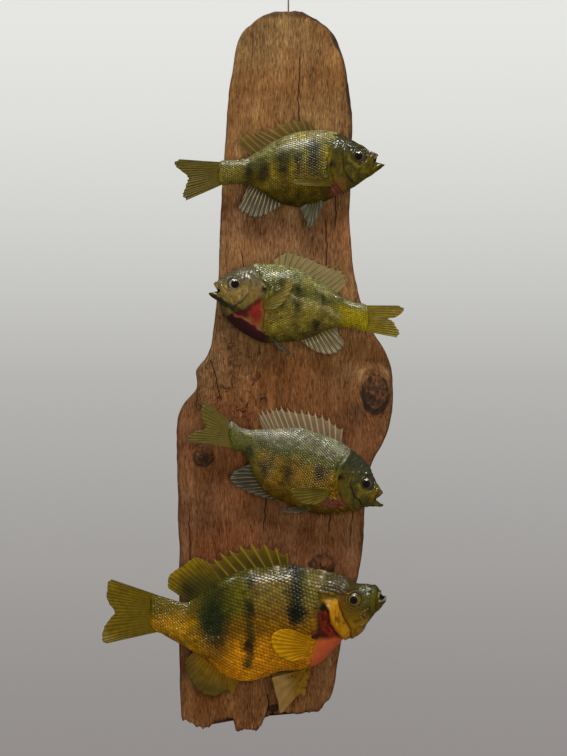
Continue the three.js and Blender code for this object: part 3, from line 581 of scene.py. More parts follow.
def close_foot(rings, dark):
    """Three smaller rings go up inside the broken end, so that it isn't one fan of triangles."""
    inner = rings[0].copy()
    inner[:, 1] = -BOARD_THICKNESS / 2
    shrink = np.array([0.12, 0.4, 0.75])[:, None, None]
    caps = rings[0] + (inner - rings[0]) * (1 - shrink)
    caps[..., 2] += 2.5 * lumps(caps[..., 0], caps[..., 1], 2.5, 3, 51) + 1.0
    # The caps get painted shade, 0.6 dark, as on the underside of the torn end.
    return np.concatenate([caps, rings]), np.concatenate([np.full(caps.shape[:2], 0.6), dark])


rings, board_dark = close_foot(*board_rings())
board = stack("board", rings)
store(board, "dark", board_dark.ravel(), "FLOAT", "value")
x, y, z = rings.reshape(-1, 3).T
store(board, "grain", np.stack([grain_line(x, z), y, z], -1) * MM)
store(board, "split", splits(x, z))
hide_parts("driftwood_board")
print("board", len(board.data.polygons), "triangles")

# %% [markdown]
# ## Driftwood finish
# Weathered softwood shows pale, reddish fibres between darker ones, all running with the grain.
# Layers of noise, drawn out along the stored grain lines, give fibres, bands and short dark ticks.
# The stored shade marks knots and edges, with painted shade under the torn foot, and the stored places of
# cracks and peeling layers let the shader draw them finer than the mesh could. Each knot is painted darker
# in its lower half, as shade under light from above.

# %% Wood finish
wood = Finish("driftwood", Specular_IOR_Level=0.2)
lines = wood.stored("grain", "Vector")
dashes = wood.speckle(wood.stretched(lines, (1, 1, 0.16)), 900, 5, 0.65)
hairs = wood.speckle(wood.stretched(lines, (1, 0.6, 0.08)), 2300, 3, 0.6)
bands = wood.speckle(wood.stretched(lines, (1, 1, 0.13)), 110, 4, 0.6)
patches = wood.speckle(wood.place(), 34, 5, 0.65)
blotches = wood.speckle(wood.place(), 9, 2)
ticks = wood.speckle(wood.stretched(lines, (1, 1, 0.12)), 1300, 2, 0.5).between(0.60, 0.68)
tone = dashes * 0.50 + hairs * 0.34 + bands * 0.26 + patches * 0.28 - 0.19
FIBRES = [(0.36, (0.070, 0.030, 0.010)), (0.46, (0.168, 0.077, 0.027)),
          (0.55, (0.252, 0.127, 0.047)), (0.68, (0.425, 0.252, 0.112))]
# A tint by height: paler at the foot, painted light that lifts the main fish's shadow there, and darker
# low in the middle.
UP_THE_BOARD = [  # its foot is at 0 and its top at 1
    (0.03, (0.95, 0.84, 0.78)), (0.17, (0.64, 0.51, 0.52)), (0.42, (0.64, 0.565, 0.59)),
    (0.60, (0.85, 0.92, 0.94)), (0.69, (0.83, 0.80, 0.90)), (0.80, (0.87, 0.97, 0.95)),
    (0.95, (0.83, 0.94, 0.88)),
]
REDDISH, PALE_WOOD, DARK_WOOD = (1.0, 0.80, 0.62, 1), (0.40, 0.25, 0.12, 1), (0.028, 0.014, 0.008, 1)
warm = wood.blend(wood.ramp(tone, FIBRES), REDDISH, blotches.between(0.42, 0.66), "MULTIPLY")
height = wood.parts(wood.place())[2]
warm = wood.blend(warm, wood.ramp(height / 0.66 + 0.5, UP_THE_BOARD), 1.0, "MULTIPLY")
right, near, layer = wood.parts(wood.stored("split", "Vector"))
opening = (right * right).between(0.32, 0.02) * near.between(0.0, 0.5)
torn = layer.math("PINGPONG", 0.5).between(0.33, 0.49)
torn = torn * wood.speckle(wood.place(), 90, 2).between(0.44, 0.60)
darkness = Amount(wood, wood.stored("dark", "Fac")) + ticks * 0.42 + opening * 0.85 + torn * 0.62
mottled = wood.speckle(wood.place(), 420, 5, 0.7)
clumps = wood.speckle(wood.place(), 230, 3, 0.6) * 0.6 + mottled * 0.4
rough_edge = (mottled - 0.5) * 0.5 + (wood.speckle(wood.place(), 130, 2) - 0.5) * 0.9
for knot in KNOTS:
    (x, z), (wide, high) = knot.place, knot.size
    centre = wood.vector("SUBTRACT", wood.place(), (x * MM, 0, z * MM))[0]
    across = wood.stretched(centre, (1 / (wide * MM), 0, 1 / (high * MM)))
    reach = Amount(wood, wood.vector("LENGTH", across)[1]) + rough_edge * 0.5
    # Painted shade: each knot's groove and inside are darker in their lower half, as under light from
    # above.
    below = wood.parts(across)[2].between(1.0, -0.7)
    groove = ((reach - 1.0) * (reach - 1.0)).between(0.040, 0.002) * (0.25 + below * 0.75)
    inside = reach.between(1.06, 0.94)
    darkness = darkness + groove * 0.7 + inside * (0.545 - clumps + below * 0.05) * 3.2
# Where the shade is below 0 the wood goes pale: pale edges and grain, the painted highlight over the burl,
# and painted light where a shadow at the right edge is lifted.
paler = wood.blend(warm, PALE_WOOD, (0 - darkness).between(0.0, 1.6))
grooves = dashes * 0.6 + hairs * 0.4 + mottled * 0.4 - ticks * 0.5 - opening - torn
wood.set(
    Base_Color=wood.blend(paler, DARK_WOOD, darkness.between(0.0, 1.0)),
    Roughness=0.97 - tone * 0.25,
    Normal=wood.bump(grooves, 0.0010, 0.95),
)
board.data.materials.append(wood.material)
print("driftwood finish ready")

# %% [markdown]
# ## The form of a fish
# A fish is a run of ribs from snout to tail. Each rib joins a point of the back to a point of the
# belly and has a half width. A section is a lens, pointed at the back and belly. A place on the
# skin is told by how far along it is, from 0 to 1, and by an angle, 0 on the back, a half turn
# under the belly. The head's plates and folds are added along the surface's own normal, and last
# the mouth is pressed open.

# %% Fish class
WALL_GAP = 0.35  # no piece of a fish goes nearer to the board


class Fish:
    """Ribs are rows of back x and y, belly x and y, and half width, from snout to tail. All is in
    the fish's own millimetres: u runs back from the snout, v up, and w out towards the viewer.
    The snout lies at snout in the row's frame, the fish looks to the left if it faces 1 and to
    the right if -1, and its middle plane is seat in front of the board."""

    def __init__(self, ribs, lean, snout, faces, seat, folds, opening, coat):
        self.ribs, self.lean, self.snout, self.faces = ribs, lean, snout, faces
        self.seat, self.folds, self.opening, self.coat = seat, folds, opening, coat
        self.length = ribs[-1][0]
        self.outward = 1
        self.outward = np.sign(self.normal(np.array([0.5]), np.array([np.pi / 2]))[0, 2])

    def rib(self, along):
        return np.moveaxis(evenly(self.ribs, along), -1, 0)

    def leaning(self, u):
        """How far the middle plane stands out: squares of the distance ahead of the neck and
        behind the waist."""
        ahead = np.clip((self.lean["neck"] - u) / self.lean["neck"], 0, None)
        behind = np.clip((u - self.lean["waist"]) / (self.length - self.lean["waist"]), 0, None)
        return self.lean["head"] * ahead**2 + self.lean["tail"] * behind**2

    def half_width(self, width, angle):
        """The lens: width times |sin|^1.2, a little fuller above the middle than below."""
        return width * np.abs(np.sin(angle)) ** 1.2 * (1 + 0.1 * np.cos(angle))

    def bare(self, along, angle):
        """A point of the plain form, inside the solids by the depth of the coat."""
        back_u, back_v, belly_u, belly_v, width = self.rib(along)
        share = (1 - np.cos(angle)) / 2
        height = np.hypot(belly_u - back_u, belly_v - back_v)
        inset = np.clip(self.coat * 0.7 / np.maximum(height, 1), 0, 0.3)
        share = inset + share * (1 - 2 * inset)
        u = back_u + (belly_u - back_u) * share
        v = back_v + (belly_v - back_v) * share
        out = self.half_width(np.maximum(width - self.coat, 0), angle) * np.sign(np.sin(angle))
        return np.stack([u, v, self.leaning(u) + out], -1)

    def normal(self, along, angle):
        """The outward normal, from two short steps on the form."""
        step = 2e-3
        near = np.clip(along, step, 1 - step)
        by_length = self.bare(near + step, angle) - self.bare(near - step, angle)
        by_angle = self.bare(near, angle + step) - self.bare(near, angle - step)
        across = np.cross(by_length, by_angle)
        across /= np.maximum(np.linalg.norm(across, axis=-1, keepdims=True), 1e-9)
        return across * self.outward

    def skin(self, along, angle, lift=0.0):
        """A point of the finished skin, or of what lies on it: the plain form, plus the folds and
        the lift along the normal, kept off the board on the wall side, with the mouth open."""
        point = self.bare(along, angle)
        high = lift + self.folds(point[..., 0], point[..., 1])
        point = point + self.normal(along, angle) * high[..., None]
        point[..., 2] = np.maximum(point[..., 2], WALL_GAP - self.seat)
        return self.gape(point)

    def gape(self, point):
        """Opens the mouth. In front, rows give for each height how far back its wall is, and it
        is dished by 1 - share^2 across the snout. On each side an oval pit (centre, half sizes)
        is pressed towards the middle plane, so that the opening runs round to the corners."""
        rows, depth, pit_at, pit_size = self.opening
        u, v, w = np.moveaxis(point, -1, 0)
        lean = self.leaning(u)
        wall = np.interp(v, *np.transpose(rows))
        share = np.clip((w - lean) / 4.5, -1, 1)
        wall = wall + rise(-2, 2, wall) * depth * (1 - share**2)
        flat = 0.86 * rise(1.12, 0.72, oval(u, v, pit_at, pit_size))
        return np.stack([np.maximum(u, wall), v, lean + (w - lean) * (1 - flat)], -1)

    def world(self, point):
        """The fish's own point in the row's frame."""
        u, v, w = np.moveaxis(point, -1, 0)
        x, z = self.snout[0] + self.faces * u, self.snout[1] + v
        return np.stack([x, -BOARD_THICKNESS - self.seat - w, z], -1)

    def flank(self, u, v):
        """The half width at a place in the side view: the run of ribs is halved until the rib
        through that place is found."""
        low, high = np.zeros(np.shape(u)), np.ones(np.shape(u))
        for _ in range(22):
            half = (low + high) / 2
            back_u, back_v, belly_u, belly_v, _width = self.rib(half)
            behind = (belly_u - back_u) * (v - back_v) - (belly_v - back_v) * (u - back_u) > 0
            low, high = np.where(behind, half, low), np.where(behind, high, half)
        back_u, back_v, belly_u, belly_v, width = self.rib(low)
        length = np.maximum(np.hypot(belly_u - back_u, belly_v - back_v), 1e-6)
        share = np.clip(np.hypot(u - back_u, v - back_v) / length, 0, 1)
        return self.half_width(width, np.arccos(1 - 2 * share))


# %% [markdown]
# ### Skin
# The rings stand closer together on the head, whose plates need the detail. The colour of each
# point comes from a function of its place in the side view, which the scales use too, so that
# skin and scales carry the same markings.

# %% Skin
def share_out(count, dense_until, dense_share):
    """Places from 0 to 1, of which dense_share lie before dense_until."""
    first = int(count * dense_share)
    ahead = np.linspace(0, dense_until, first, endpoint=False)
    return np.concatenate([ahead, np.linspace(dense_until, 1, count - first)])


def skin_piece(name, fish, markings, nodes, rings, around):
    """The skin as one closed stack from snout to tail, in place of the nodes of flesh."""
    along = np.clip(share_out(rings, 0.36, 0.55), 0.0015, 0.9985)
    angle = np.linspace(0, 2 * np.pi, around, endpoint=False)
    along, angle = np.meshgrid(along, angle, indexing="ij")
    own = fish.skin(along, angle)
    piece = stack(name, fish.world(own))
    paint(piece, markings(own[..., 0], own[..., 1], (1 - np.cos(angle)) / 2))
    piece.data.materials.append(skin_finish)
    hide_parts(*nodes)
    return piece


# %% [markdown]
# ### Scales
# A scale is a thin rounded plate, set into the skin at its front and lifted at its rear edge. Each
# has a middle, two rings on top and one below. They lie in rows that run back from the gills,
# every other row half a scale on, so that each covers the joint of two behind it. Row spacing
# shrinks with the body towards the tail.

# %% Scales
SCALE_POINTS, SCALE_EDGE = 14, 0.42  # corners of its outline and the height of its rim


def scale_pattern():
    """One scale: corners as (back, across, height) and its triangles. The outline is a circle with
    its front drawn in. The top bulges, and the rear edge is lifted."""
    n = SCALE_POINTS
    angle = np.linspace(0, 2 * np.pi, n, endpoint=False)
    back = np.cos(angle)
    ring = np.stack([np.where(back < 0, back * 0.55, back), np.sin(angle)], -1)
    top = np.concatenate([[[0.0, 0.0]], ring * 0.62, ring])
    height = 0.16 + 0.50 * top[:, 0] + 0.22 * (1 - (top**2).sum(1))
    points = np.column_stack([top, height])
    below = points[-n:] - [0, 0, SCALE_EDGE]
    points = np.concatenate([points, below, [[0.0, 0.0, -0.35]]])
    i = np.arange(n)
    j = (i + 1) % n
    inner, outer, low, last = 1, 1 + n, 1 + 2 * n, 1 + 3 * n
    corners = [
        (0 * i, inner + i, inner + j),
        (inner + i, outer + i, outer + j),
        (inner + i, outer + j, inner + j),
        (outer + i, low + i, low + j),
        (outer + i, low + j, outer + j),
        (low + j, low + i, 0 * i + last),
    ]
    return points, np.concatenate([np.stack(three, -1) for three in corners])


def scale_roots(fish, pitch, row, side, first, taper):
    """Places of the scales on one side. Along the middle of the flank they are a pitch apart, and
    up and down the flank a row apart by the length over the skin. Both shrink to taper of that
    where the body narrows to the tail."""
    stations = np.linspace(first, 0.965, 900)
    middle = fish.bare(stations, np.full(900, side * np.pi / 2))
    size = 1 - (1 - taper) * rise(0.45, 0.95, stations)
    steps = np.linalg.norm(np.diff(middle, axis=0), axis=1) / size[1:]
    length = np.concatenate([[0], np.cumsum(steps)])
    columns = np.interp(np.arange(0, length[-1], pitch / 2), length, stations)
    angles = np.linspace(0.02, np.pi - 0.02, 400)
    along, angle = np.meshgrid(columns, angles, indexing="ij")
    line = fish.bare(along, side * angle)
    step = np.linalg.norm(np.diff(line, axis=1), axis=2)
    over = np.concatenate([np.zeros((len(columns), 1)), np.cumsum(step, 1)], 1)
    over = over - over[:, 200:201]
    size = np.interp(columns, stations, size)
    roots = []
    for k, here in enumerate(columns):
        rows = (np.arange(-60, 61) * 2 + k % 2) * row * size[k] / 2
        rows = rows[(rows > over[k, 0]) & (rows < over[k, -1])]
        at = np.interp(rows, over[k], angles)
        roots.append(np.column_stack([np.full(len(at), here), side * at, np.full(len(at), size[k])]))
    return np.concatenate(roots)


def per_step(fish, along, angle, by_length, by_angle):
    """How many millimetres the form runs at each place for one step of length or of angle."""
    ahead = fish.bare(along + by_length, angle + by_angle)
    behind = fish.bare(along - by_length, angle - by_angle)
    return np.linalg.norm(ahead - behind, axis=1) / (2 * (by_length + by_angle))


def scale_piece(name, fish, markings, pitch, row, side, keep, seed, edge, first, taper):
    """All scales of one side of a fish, as one mesh, with their colours and the bake map. Each
    scale has the markings' colour at its root, darker by edge at its rim and at its front."""
    roots = scale_roots(fish, pitch, row, side, first, taper)
    own = fish.bare(roots[:, 0], roots[:, 1])
    roots = roots[keep(own[:, 0], own[:, 1])]
    chance, count = np.random.default_rng(seed), len(roots)
    roots[:, 0] += chance.normal(0, 0.00035, count)
    along, angle, size = roots.T
    pattern, faces = scale_pattern()
    back, across, height = pattern.T[:, None]
    long = pitch * size * 0.80 / per_step(fish, along, angle, 2e-3, 0)
    wide = row * size * 0.60 / per_step(fish, along, angle, 0, 2e-3)
    tilt = chance.normal(0, 0.07, count)
    s = along[:, None] + long[:, None] * (back + tilt[:, None] * across)
    a = angle[:, None] + wide[:, None] * side * across
    thick = (0.75 + 0.25 * size) * (1 + chance.normal(0, 0.12, count)) * fish.coat / 0.45
    points = fish.skin(np.clip(s, 0.002, 0.998), a, height * thick[:, None])
    world = fish.world(points).reshape(-1, 3)
    every = (faces[None] + (np.arange(count) * len(pattern))[:, None, None]).reshape(-1, 3)
    piece = new_object(name, world, facing_out(world, every))

    root = fish.skin(along, angle)
    colour = markings(root[:, 0], root[:, 1], (1 - np.cos(angle)) / 2)
    colour = colour * (1 + chance.normal(0, 0.16, count))[:, None]
    rim, front = rise(0.6, 1.0, np.hypot(back, across)), rise(0.25, -0.4, back)
    shade = np.maximum(1.3 - edge * rim - 0.7 * edge * front, 0.15)
    shade = np.where(height < -0.1, 0.35, shade)[0]
    warm = np.stack([shade, shade**1.15, shade**1.3], -1)
    paint(piece, colour[:, None] * warm[None])

    bake = piece.data.uv_layers.new(name="OFBake")
    at = np.column_stack([along, (angle / (2 * np.pi)) % 1.0])
    uv = (at[:, None] + pattern[:, :2] * 0.0015).reshape(-1, 2)
    corner = np.empty(len(piece.data.loops), np.int32)
    piece.data.loops.foreach_get("vertex_index", corner)
    bake.data.foreach_set("uv", np.clip(uv[corner], 0, 1).astype(np.float32).ravel())
    piece.data.materials.append(scale_finish)
    return piece


# %% [markdown]
# ### Fins
# A fin is a fan of rays joined by a thin membrane. It is a stack of flat loops, one for each step
# from the first ray to the last: each loop goes out along the near face and back along the far
# one. The membrane is about half a millimetre thick and each ray stands proud of it, most at the
# foot. Spines reach past the membrane between them.

# %% Fins
FRAY_SEED, RIPPLE_SEED = 3, 23


def fin_piece(name, fish, base, edge, rays, colour, spines=False, dip=0.0, columns=12, steps=34,
              stand=None, fray=0.0, ridge=0.42, sharp=0.7, lean=0.0):
    """base and edge are points along the fin's foot and its rim, in the fish's side view. stand
    gives how far the middle of the fin stands out, from u, v and the share of the way out. The
    membrane falls short of the rim by dip between the rays and by fray at random. lean is how
    much further along the rim than along the foot a ray in the middle ends."""
    count = (rays - 1) * columns + 1 if spines else rays * columns
    r, q = np.meshgrid(np.linspace(0, 1, count), np.linspace(0, 1, steps), indexing="ij")
    phase = r * (rays - 1) if spines else r * rays - 0.5
    from_ray = np.abs(phase - np.round(phase))
    short = dip * np.sin(np.pi * np.clip(from_ray, 0, 0.5)) ** sharp
    tears = np.random.default_rng(FRAY_SEED).uniform(0, 1, rays * 2 + 1)
    ragged = np.interp(r * rays * 2, np.arange(rays * 2 + 1), tears)
    out = q * (1 - short - fray * ragged)
    middle = mix(evenly(base, r), evenly(edge, r + lean * np.sin(np.pi * r)), out)
    u, v = middle[..., 0], middle[..., 1]
    w = fish.leaning(u) if stand is None else stand(u, v, out)
    w = w + (0.25 * np.sin(phase * 2 * np.pi) + 0.5 * lumps(u, v, 9, 9, RIPPLE_SEED)) * out
    ray, forks = band(from_ray, 0, 0.17), band(from_ray, 0.16 * out, 0.09)
    line = ray if spines else np.maximum(ray * (1 - q), forks * 0.8)
    thick = 0.27 + ridge * line * (1 - (0.75 if spines else 0.6) * q)
    thick = thick * rise(-0.02, 0.03, 1 - q) + 0.02
    near, far = np.stack([u, v, w + thick], -1), np.stack([u, v, w - thick], -1)
    loops = np.concatenate([near, far[:, ::-1]], 1)
    loops[..., 2] = np.maximum(loops[..., 2], WALL_GAP - fish.seat)
    piece = stack(name, fish.world(loops))
    shades = colour(out, line**2.2, u, v)
    paint(piece, np.concatenate([shades, shades[:, ::-1]], 1))
    piece.data.materials.append(fin_finish)
    return piece


# %% [markdown]
# ### Eyes
# A taxidermist's eye is a glass dome with the iris painted behind it. From outside, the dome's
# gloss and the pupil are what show, so the colours are stored on a smooth dome.

# %% Eyes
EYE_RINGS, EYE_AROUND = 60, 64
EYE_RIM, EYE_DARK, EYE_BROWN = (0.03, 0.022, 0.008), (0.002, 0.0015, 0.001), (0.012, 0.006, 0.003)


def eye_piece(name, fish, at, radius, bulge, side, pupil, iris):
    """A ball that stands out of the flank by bulge. Its colours go by the distance from its axis:
    the pupil, set a little forward, a bright line, the streaked iris, shaded by the lid above,
    and a dark rim."""
    out = fish.flank(np.array([at[0]]), np.array([at[1]]))[0] + bulge - radius
    turn = np.linspace(0.0005, np.pi - 0.0005, EYE_RINGS)
    angle = np.linspace(0, 2 * np.pi, EYE_AROUND, endpoint=False)
    turn, angle = np.meshgrid(turn, angle, indexing="ij")
    far = radius * np.sin(turn)
    across, up = far * np.cos(angle), far * np.sin(angle)
    w = fish.leaning(np.array(at[0])) + side * (out + radius * np.cos(turn))
    piece = stack(name, fish.world(np.stack([at[0] + across, at[1] + up, w], -1)))
    from_pupil = np.hypot(across - 0.12 * radius, up + 0.03 * radius)
    streak = 0.85 + 0.25 * lumps(angle * 9, far, 1.0, 3.0, 7)
    shade = 1 - 0.65 * rise(-0.1 * radius, 0.75 * radius, up)
    iris = np.array(iris)
    colour = iris * (streak * shade)[..., None]
    colour = mix(colour, iris * 1.5, 0.7 * band(from_pupil, pupil + 0.4, 0.3))
    colour = mix(colour, EYE_RIM, rise(radius * 0.72, radius * 0.82, far))
    brown = mix(EYE_DARK, EYE_BROWN, rise(0.5 * pupil, 0.95 * pupil, from_pupil))
    colour = mix(colour, brown, rise(pupil + 0.3, pupil - 0.25, from_pupil))
    paint(piece, colour)
    piece.data.materials.append(eye_finish)
    return piece


# %% [markdown]
# ## Fish finishes
# Dried skin is painted and varnished, so it has a clear coat over mottled colour. Scales share
# the finish and catch the light on their edges. Fins are thinner coats of varnish over rays. The
# eyes are smooth glass.

# %% Fish finishes
def varnished(name, rough, grain_size, relief, coat, blur):
    """Stored colours, mottled by noise, under a clear varnish."""
    made = Finish(name, Coat_Weight=coat, Coat_Roughness=blur, Specular_IOR_Level=0.05)
    fine = made.speckle(made.place(), grain_size, 4, 0.6)
    slow = made.speckle(made.place(), grain_size / 9, 3)
    mottle = fine * 0.55 + slow * 0.45
    tint = made.ramp(mottle, [(0.25, (0.62, 0.60, 0.58)), (0.75, (1.0, 1.0, 1.0))])
    made.set(
        Base_Color=made.blend(made.stored("hue"), tint, 1.0, "MULTIPLY"),
        Roughness=rough + fine * 0.22,
        Normal=made.bump(fine, relief),
    )
    return made.material


skin_finish = varnished("varnished_skin", 0.38, 1300, 0.0005, 0.5, 0.14)
scale_finish = varnished("varnished_scales", 0.36, 2200, 0.0001, 0.6, 0.11)
fin_finish = varnished("varnished_fins", 0.5, 1500, 0.00015, 0.2, 0.38)
GLASS_COAT = dict(Coat_Weight=0.9, Coat_Roughness=0.02)
glass = Finish("glass_eye", Roughness=0.2, Specular_IOR_Level=0.2, **GLASS_COAT)
glass.set(Base_Color=glass.stored("hue"))
eye_finish = glass.material
print("fish finishes ready")

# %% [markdown]
# ## The largest fish
# A bluegill in breeding colours, the only one modelled part by part. Its outline, plates and fins
# use the same sizes as its solids do.

# %% Main fish form
MAIN_RIBS = [
    [0, 0, 0, 0, 0], [1.3, 3.6, 0.9, -2.7, 3.5], [4.5, 7.2, 4, -6.7, 6],
    [9.4, 13, 9.8, -12.5, 8.5], [17, 13.9, 15.7, -20, 11], [25.9, 14.8, 20.6, -28.6, 13.5],
    [34, 18.3, 26.8, -33.6, 16], [43.8, 22.5, 36.7, -36, 18], [56.4, 25.5, 45.6, -44.5, 19.5],
    [70.7, 28, 59.1, -57.7, 21], [86.8, 31.1, 75.2, -63.4, 21.5], [105.6, 28.5, 94, -64.8, 21],
    [123.5, 27, 110.1, -70.5, 19], [140.5, 21, 128, -73.4, 16.5],
    [156.6, 12.2, 146.7, -66.4, 13], [169.1, 2.5, 163.7, -52, 10.5],
    [179.9, -2.7, 177.2, -43.7, 8], [192.4, 0.2, 189.7, -36.4, 6.5],
    [203.1, 3.9, 201.3, -29.5, 4.6], [208.5, 3.5, 208.5, -26, 3.2], [211, -11, 211, -11, 0],
]
MAIN_EYE, MAIN_EYE_RADIUS, MAIN_EYE_BULGE = (28.6, 0.9), 7.6, 3.0
MAIN_COAT = 0.45
MAIN_OPENING = (  # rows of height and wall, how far it is dished, the pits' centre and half sizes
    [(2.7, -9), (3.2, 1.6), (3.9, 3.2), (4.8, 3.9), (5.6, 4.1), (6.3, 3.8), (6.8, -9)],
    1.2, (3.9, 2.9), (2.3, 2.5),
)
MAIN_GILL = [(58, 2.5), (56.6, -1.2), (51.6, -8), (49.2, -20.6), (44.9, -27.2), (39.8, -33.1)]
MAIN_CREASE = [(43.5, 1), (42.9, -2.7), (38.5, -14.3), (33.4, -21.5), (31.7, -25.9), (31.7, -33)]
MAIN_JAWS = [  # line, half breadth, height: jaw plate, upper lip, lower lip, jaw bone
    ([(11.2, 8.0), (12.4, -3), (12.0, -11.0)], 1.9, 0.45),
    ([(4.6, 7.8), (6.6, 6.2), (7.2, 3.0)], 0.8, 0.6),
    ([(0.9, 2.2), (2.2, -0.3), (6.4, -1.2)], 0.9, 0.6),
    ([(5, -6.5), (13, -15.5), (22, -23.5)], 1.6, 0.35),
]


def near_line(u, v, line, radius):
    """How far a point is outside a rounded band of that radius along a broken line."""
    return np.abs(beside(u, v, line)) - radius


def raised(far, height, soft=0.5):
    """A low plate: its height inside its edge, nothing outside, and a fine groove round it."""
    return height * rise(soft, -soft, far) - 0.45 * height * band(far, soft + 0.25, 0.4)


def head_folds(eye, radius, gill, crease, lips, size=1.0):
    """Relief of a head in the side view, in millimetres. The gill cover stands out before its
    edge and the slit behind it is sunk and crumpled. The cheek swells up to a crease. The jaw
    bones are low plates, a soft lid rings the eye, and the brow and two nostrils are above it. A
    fine random field roughens it all."""
    eye_u, eye_v = eye

    def folds(u, v):
        behind = beside(u, v, gill)
        cover = 1.6 * band(np.minimum(behind, 0), 0, 8 * size) * rise(0.4, -0.2, behind)
        cover += 0.35 * band(behind, -1.2 * size, 0.9 * size)
        slit = -1.4 * band(np.maximum(behind - 0.4, 0), 0, 3.0 * size) * rise(-0.1, 0.5, behind)
        past = beside(u, v, crease)
        cheek = 0.9 * band(past, -1.9 * size, 1.9 * size) - 0.9 * band(past, 0.4, 0.6 * size)
        cheek += 1.1 * blob(u, v, (eye_u + 2 * size, eye_v - 16 * size), (8 * size, 7 * size))
        ahead = rise(eye_u - 5 * size, eye_u - 9 * size, u)
        jaws = sum(raised(near_line(u, v, line, half * size), high) for line, half, high in lips)
        reach = np.hypot(u - eye_u, v - eye_v) / radius
        lid = -2.0 * rise(0.86, 0.70, reach) + 0.75 * band(reach, 0.93, 0.075)
        lid -= 0.35 * band(reach, 1.10, 0.06)
        lid += 0.30 * band(reach, 1.24, 0.08) * (1 + 0.6 * lumps(u, v, 2.5, 2.5, 81))
        brow = -0.6 * blob(u, v, (eye_u, eye_v + 9.2 * size), (6 * size, 0.9 * size))
        brow += 0.6 * blob(u, v, (eye_u - size, eye_v + 11.2 * size), (8 * size, 1.3 * size))
        for at, up in ((10.4, 6.0), (12.8, 6.6)):
            nostril = (eye_u - at * size, eye_v + up * size)
            brow -= blob(u, v, nostril, (0.75 * size, 0.6 * size))
        under = np.hypot((u - eye_u) / 1.2, v - eye_v)
        ring = -0.4 * band(under, 11.5 * size, 0.6 * size) * rise(eye_v, eye_v - 6 * size, v)
        rough = 0.20 * lumps(u, v, 3.2 * size, 3.2 * size, 82) + 0.11 * lumps(u, v, 1.3, 1.3, 83)
        rough += 0.26 * lumps(u, v, 2.0, 1.6, 86) * rise(eye_v + 1, eye_v + 7, v)
        rough *= rise(1.0, -1.0, behind) * rise(0.95, 1.15, reach)
        crumple = 0.8 * lumps(behind, v, 1.7 * size, 5 * size, 54) + 0.45 * lumps(u, v, 2.4, 2.4, 85)
        crumple *= rise(-0.5, 1.5, behind) * rise(12, 6, behind) * rise(2, -3, v - gill[1][1])
        return cover + slit + cheek + jaws * (0.4 + 0.6 * ahead) + lid + brow + ring + rough + crumple

    return folds


main_fish = Fish(
    MAIN_RIBS, dict(head=5, tail=9, neck=60, waist=120), (89.5, -203.6), -1, 18.9,
    head_folds(MAIN_EYE, MAIN_EYE_RADIUS, MAIN_GILL, MAIN_CREASE, MAIN_JAWS),
    MAIN_OPENING, MAIN_COAT,
)
print("main fish", main_fish.length, "mm to the tail fin")

# %% [markdown]
# ### Its colours
# Gold flanks and an orange breast under an olive back, with three dark bars. The head is olive,
# the gill plate yellow and the membrane behind it deep red. Each is a smooth mask over the side
# view, shifted a little by a random field so that no edge is ruled. A table lists the marks that
# are no more than soft spots, in the order that they are laid on.

# %% Main colours
GOLD, ORANGE = np.array([0.165, 0.074, 0.0008]), np.array([0.54, 0.205, 0.0015])
BUFF, OLIVE = np.array([0.135, 0.088, 0.012]), np.array([0.088, 0.076, 0.0015])
BLACK, GREEN_BLACK = np.array([0.003, 0.004, 0.002]), np.array([0.009, 0.013, 0.003])
RED, DEEP_RED = np.array([0.60, 0.110, 0.034]), np.array([0.155, 0.016, 0.006])
YELLOW, PALE = np.array([0.62, 0.31, 0.007]), np.array([0.70, 0.66, 0.50])
CHEEK, CROWN = np.array([0.112, 0.062, 0.002]), np.array([0.058, 0.045, 0.006])
TEAL, MAROON = np.array([0.018, 0.075, 0.030]), np.array([0.050, 0.018, 0.008])
TAIL_GOLD, SNOUT, JAW = (0.33, 0.160, 0.001), (0.070, 0.062, 0.004), (0.130, 0.102, 0.004)
BREAST = [(68, -70), (66, -50), (62, -38), (57, -25)]  # where the bare red skin ends
FLANK_SPOTS = [  # colour, strength, place, half sizes
    (BLACK, 0.9, (119, -6.3), (5, 7)),
    (BLACK, 0.9, (119.9, -37), (5, 8)),
    (BLACK * 3, 0.6, (121.5, -57), (5, 5)),
    (BLACK * 2, 0.8, (119, 17), (5, 8)),
    (GREEN_BLACK * 1.3, (0.97, 1.5), (152, -17), (14, 21)),
    (GREEN_BLACK * 1.3, 0.7, (146, -42), (9, 15)),
    (GREEN_BLACK * 1.2, 0.75, (150, 8), (14, 14)),
    (OLIVE * 1.1, 0.6, (64, 12), (7, 18)),
]
HEAD_SPOTS = [
    (TEAL, 0.7, (17.3, 7.2), (6, 3.4)),
    (TEAL, 0.45, (17.5, -1), (3.5, 5)),
    (CROWN * 0.7, 0.6, (36, 12), (8, 4)),
    (MAROON, 0.7, (39.5, 8), (5, 7)),
    (DEEP_RED, 0.35, (40, -2), (3, 5)),
]


def spotted(colour, u, v, spots):
    """Soft spots laid over a colour. A strength may be a pair: a spot multiplied by the second
    number, so that it gets a flat middle, then kept to 1 and multiplied by the first."""
    for tint, strength, place, size in spots:
        most, swell = strength if isinstance(strength, tuple) else (strength, 1)
        colour = mix(colour, tint, most * np.clip(swell * blob(u, v, place, size), 0, 1))
    return colour


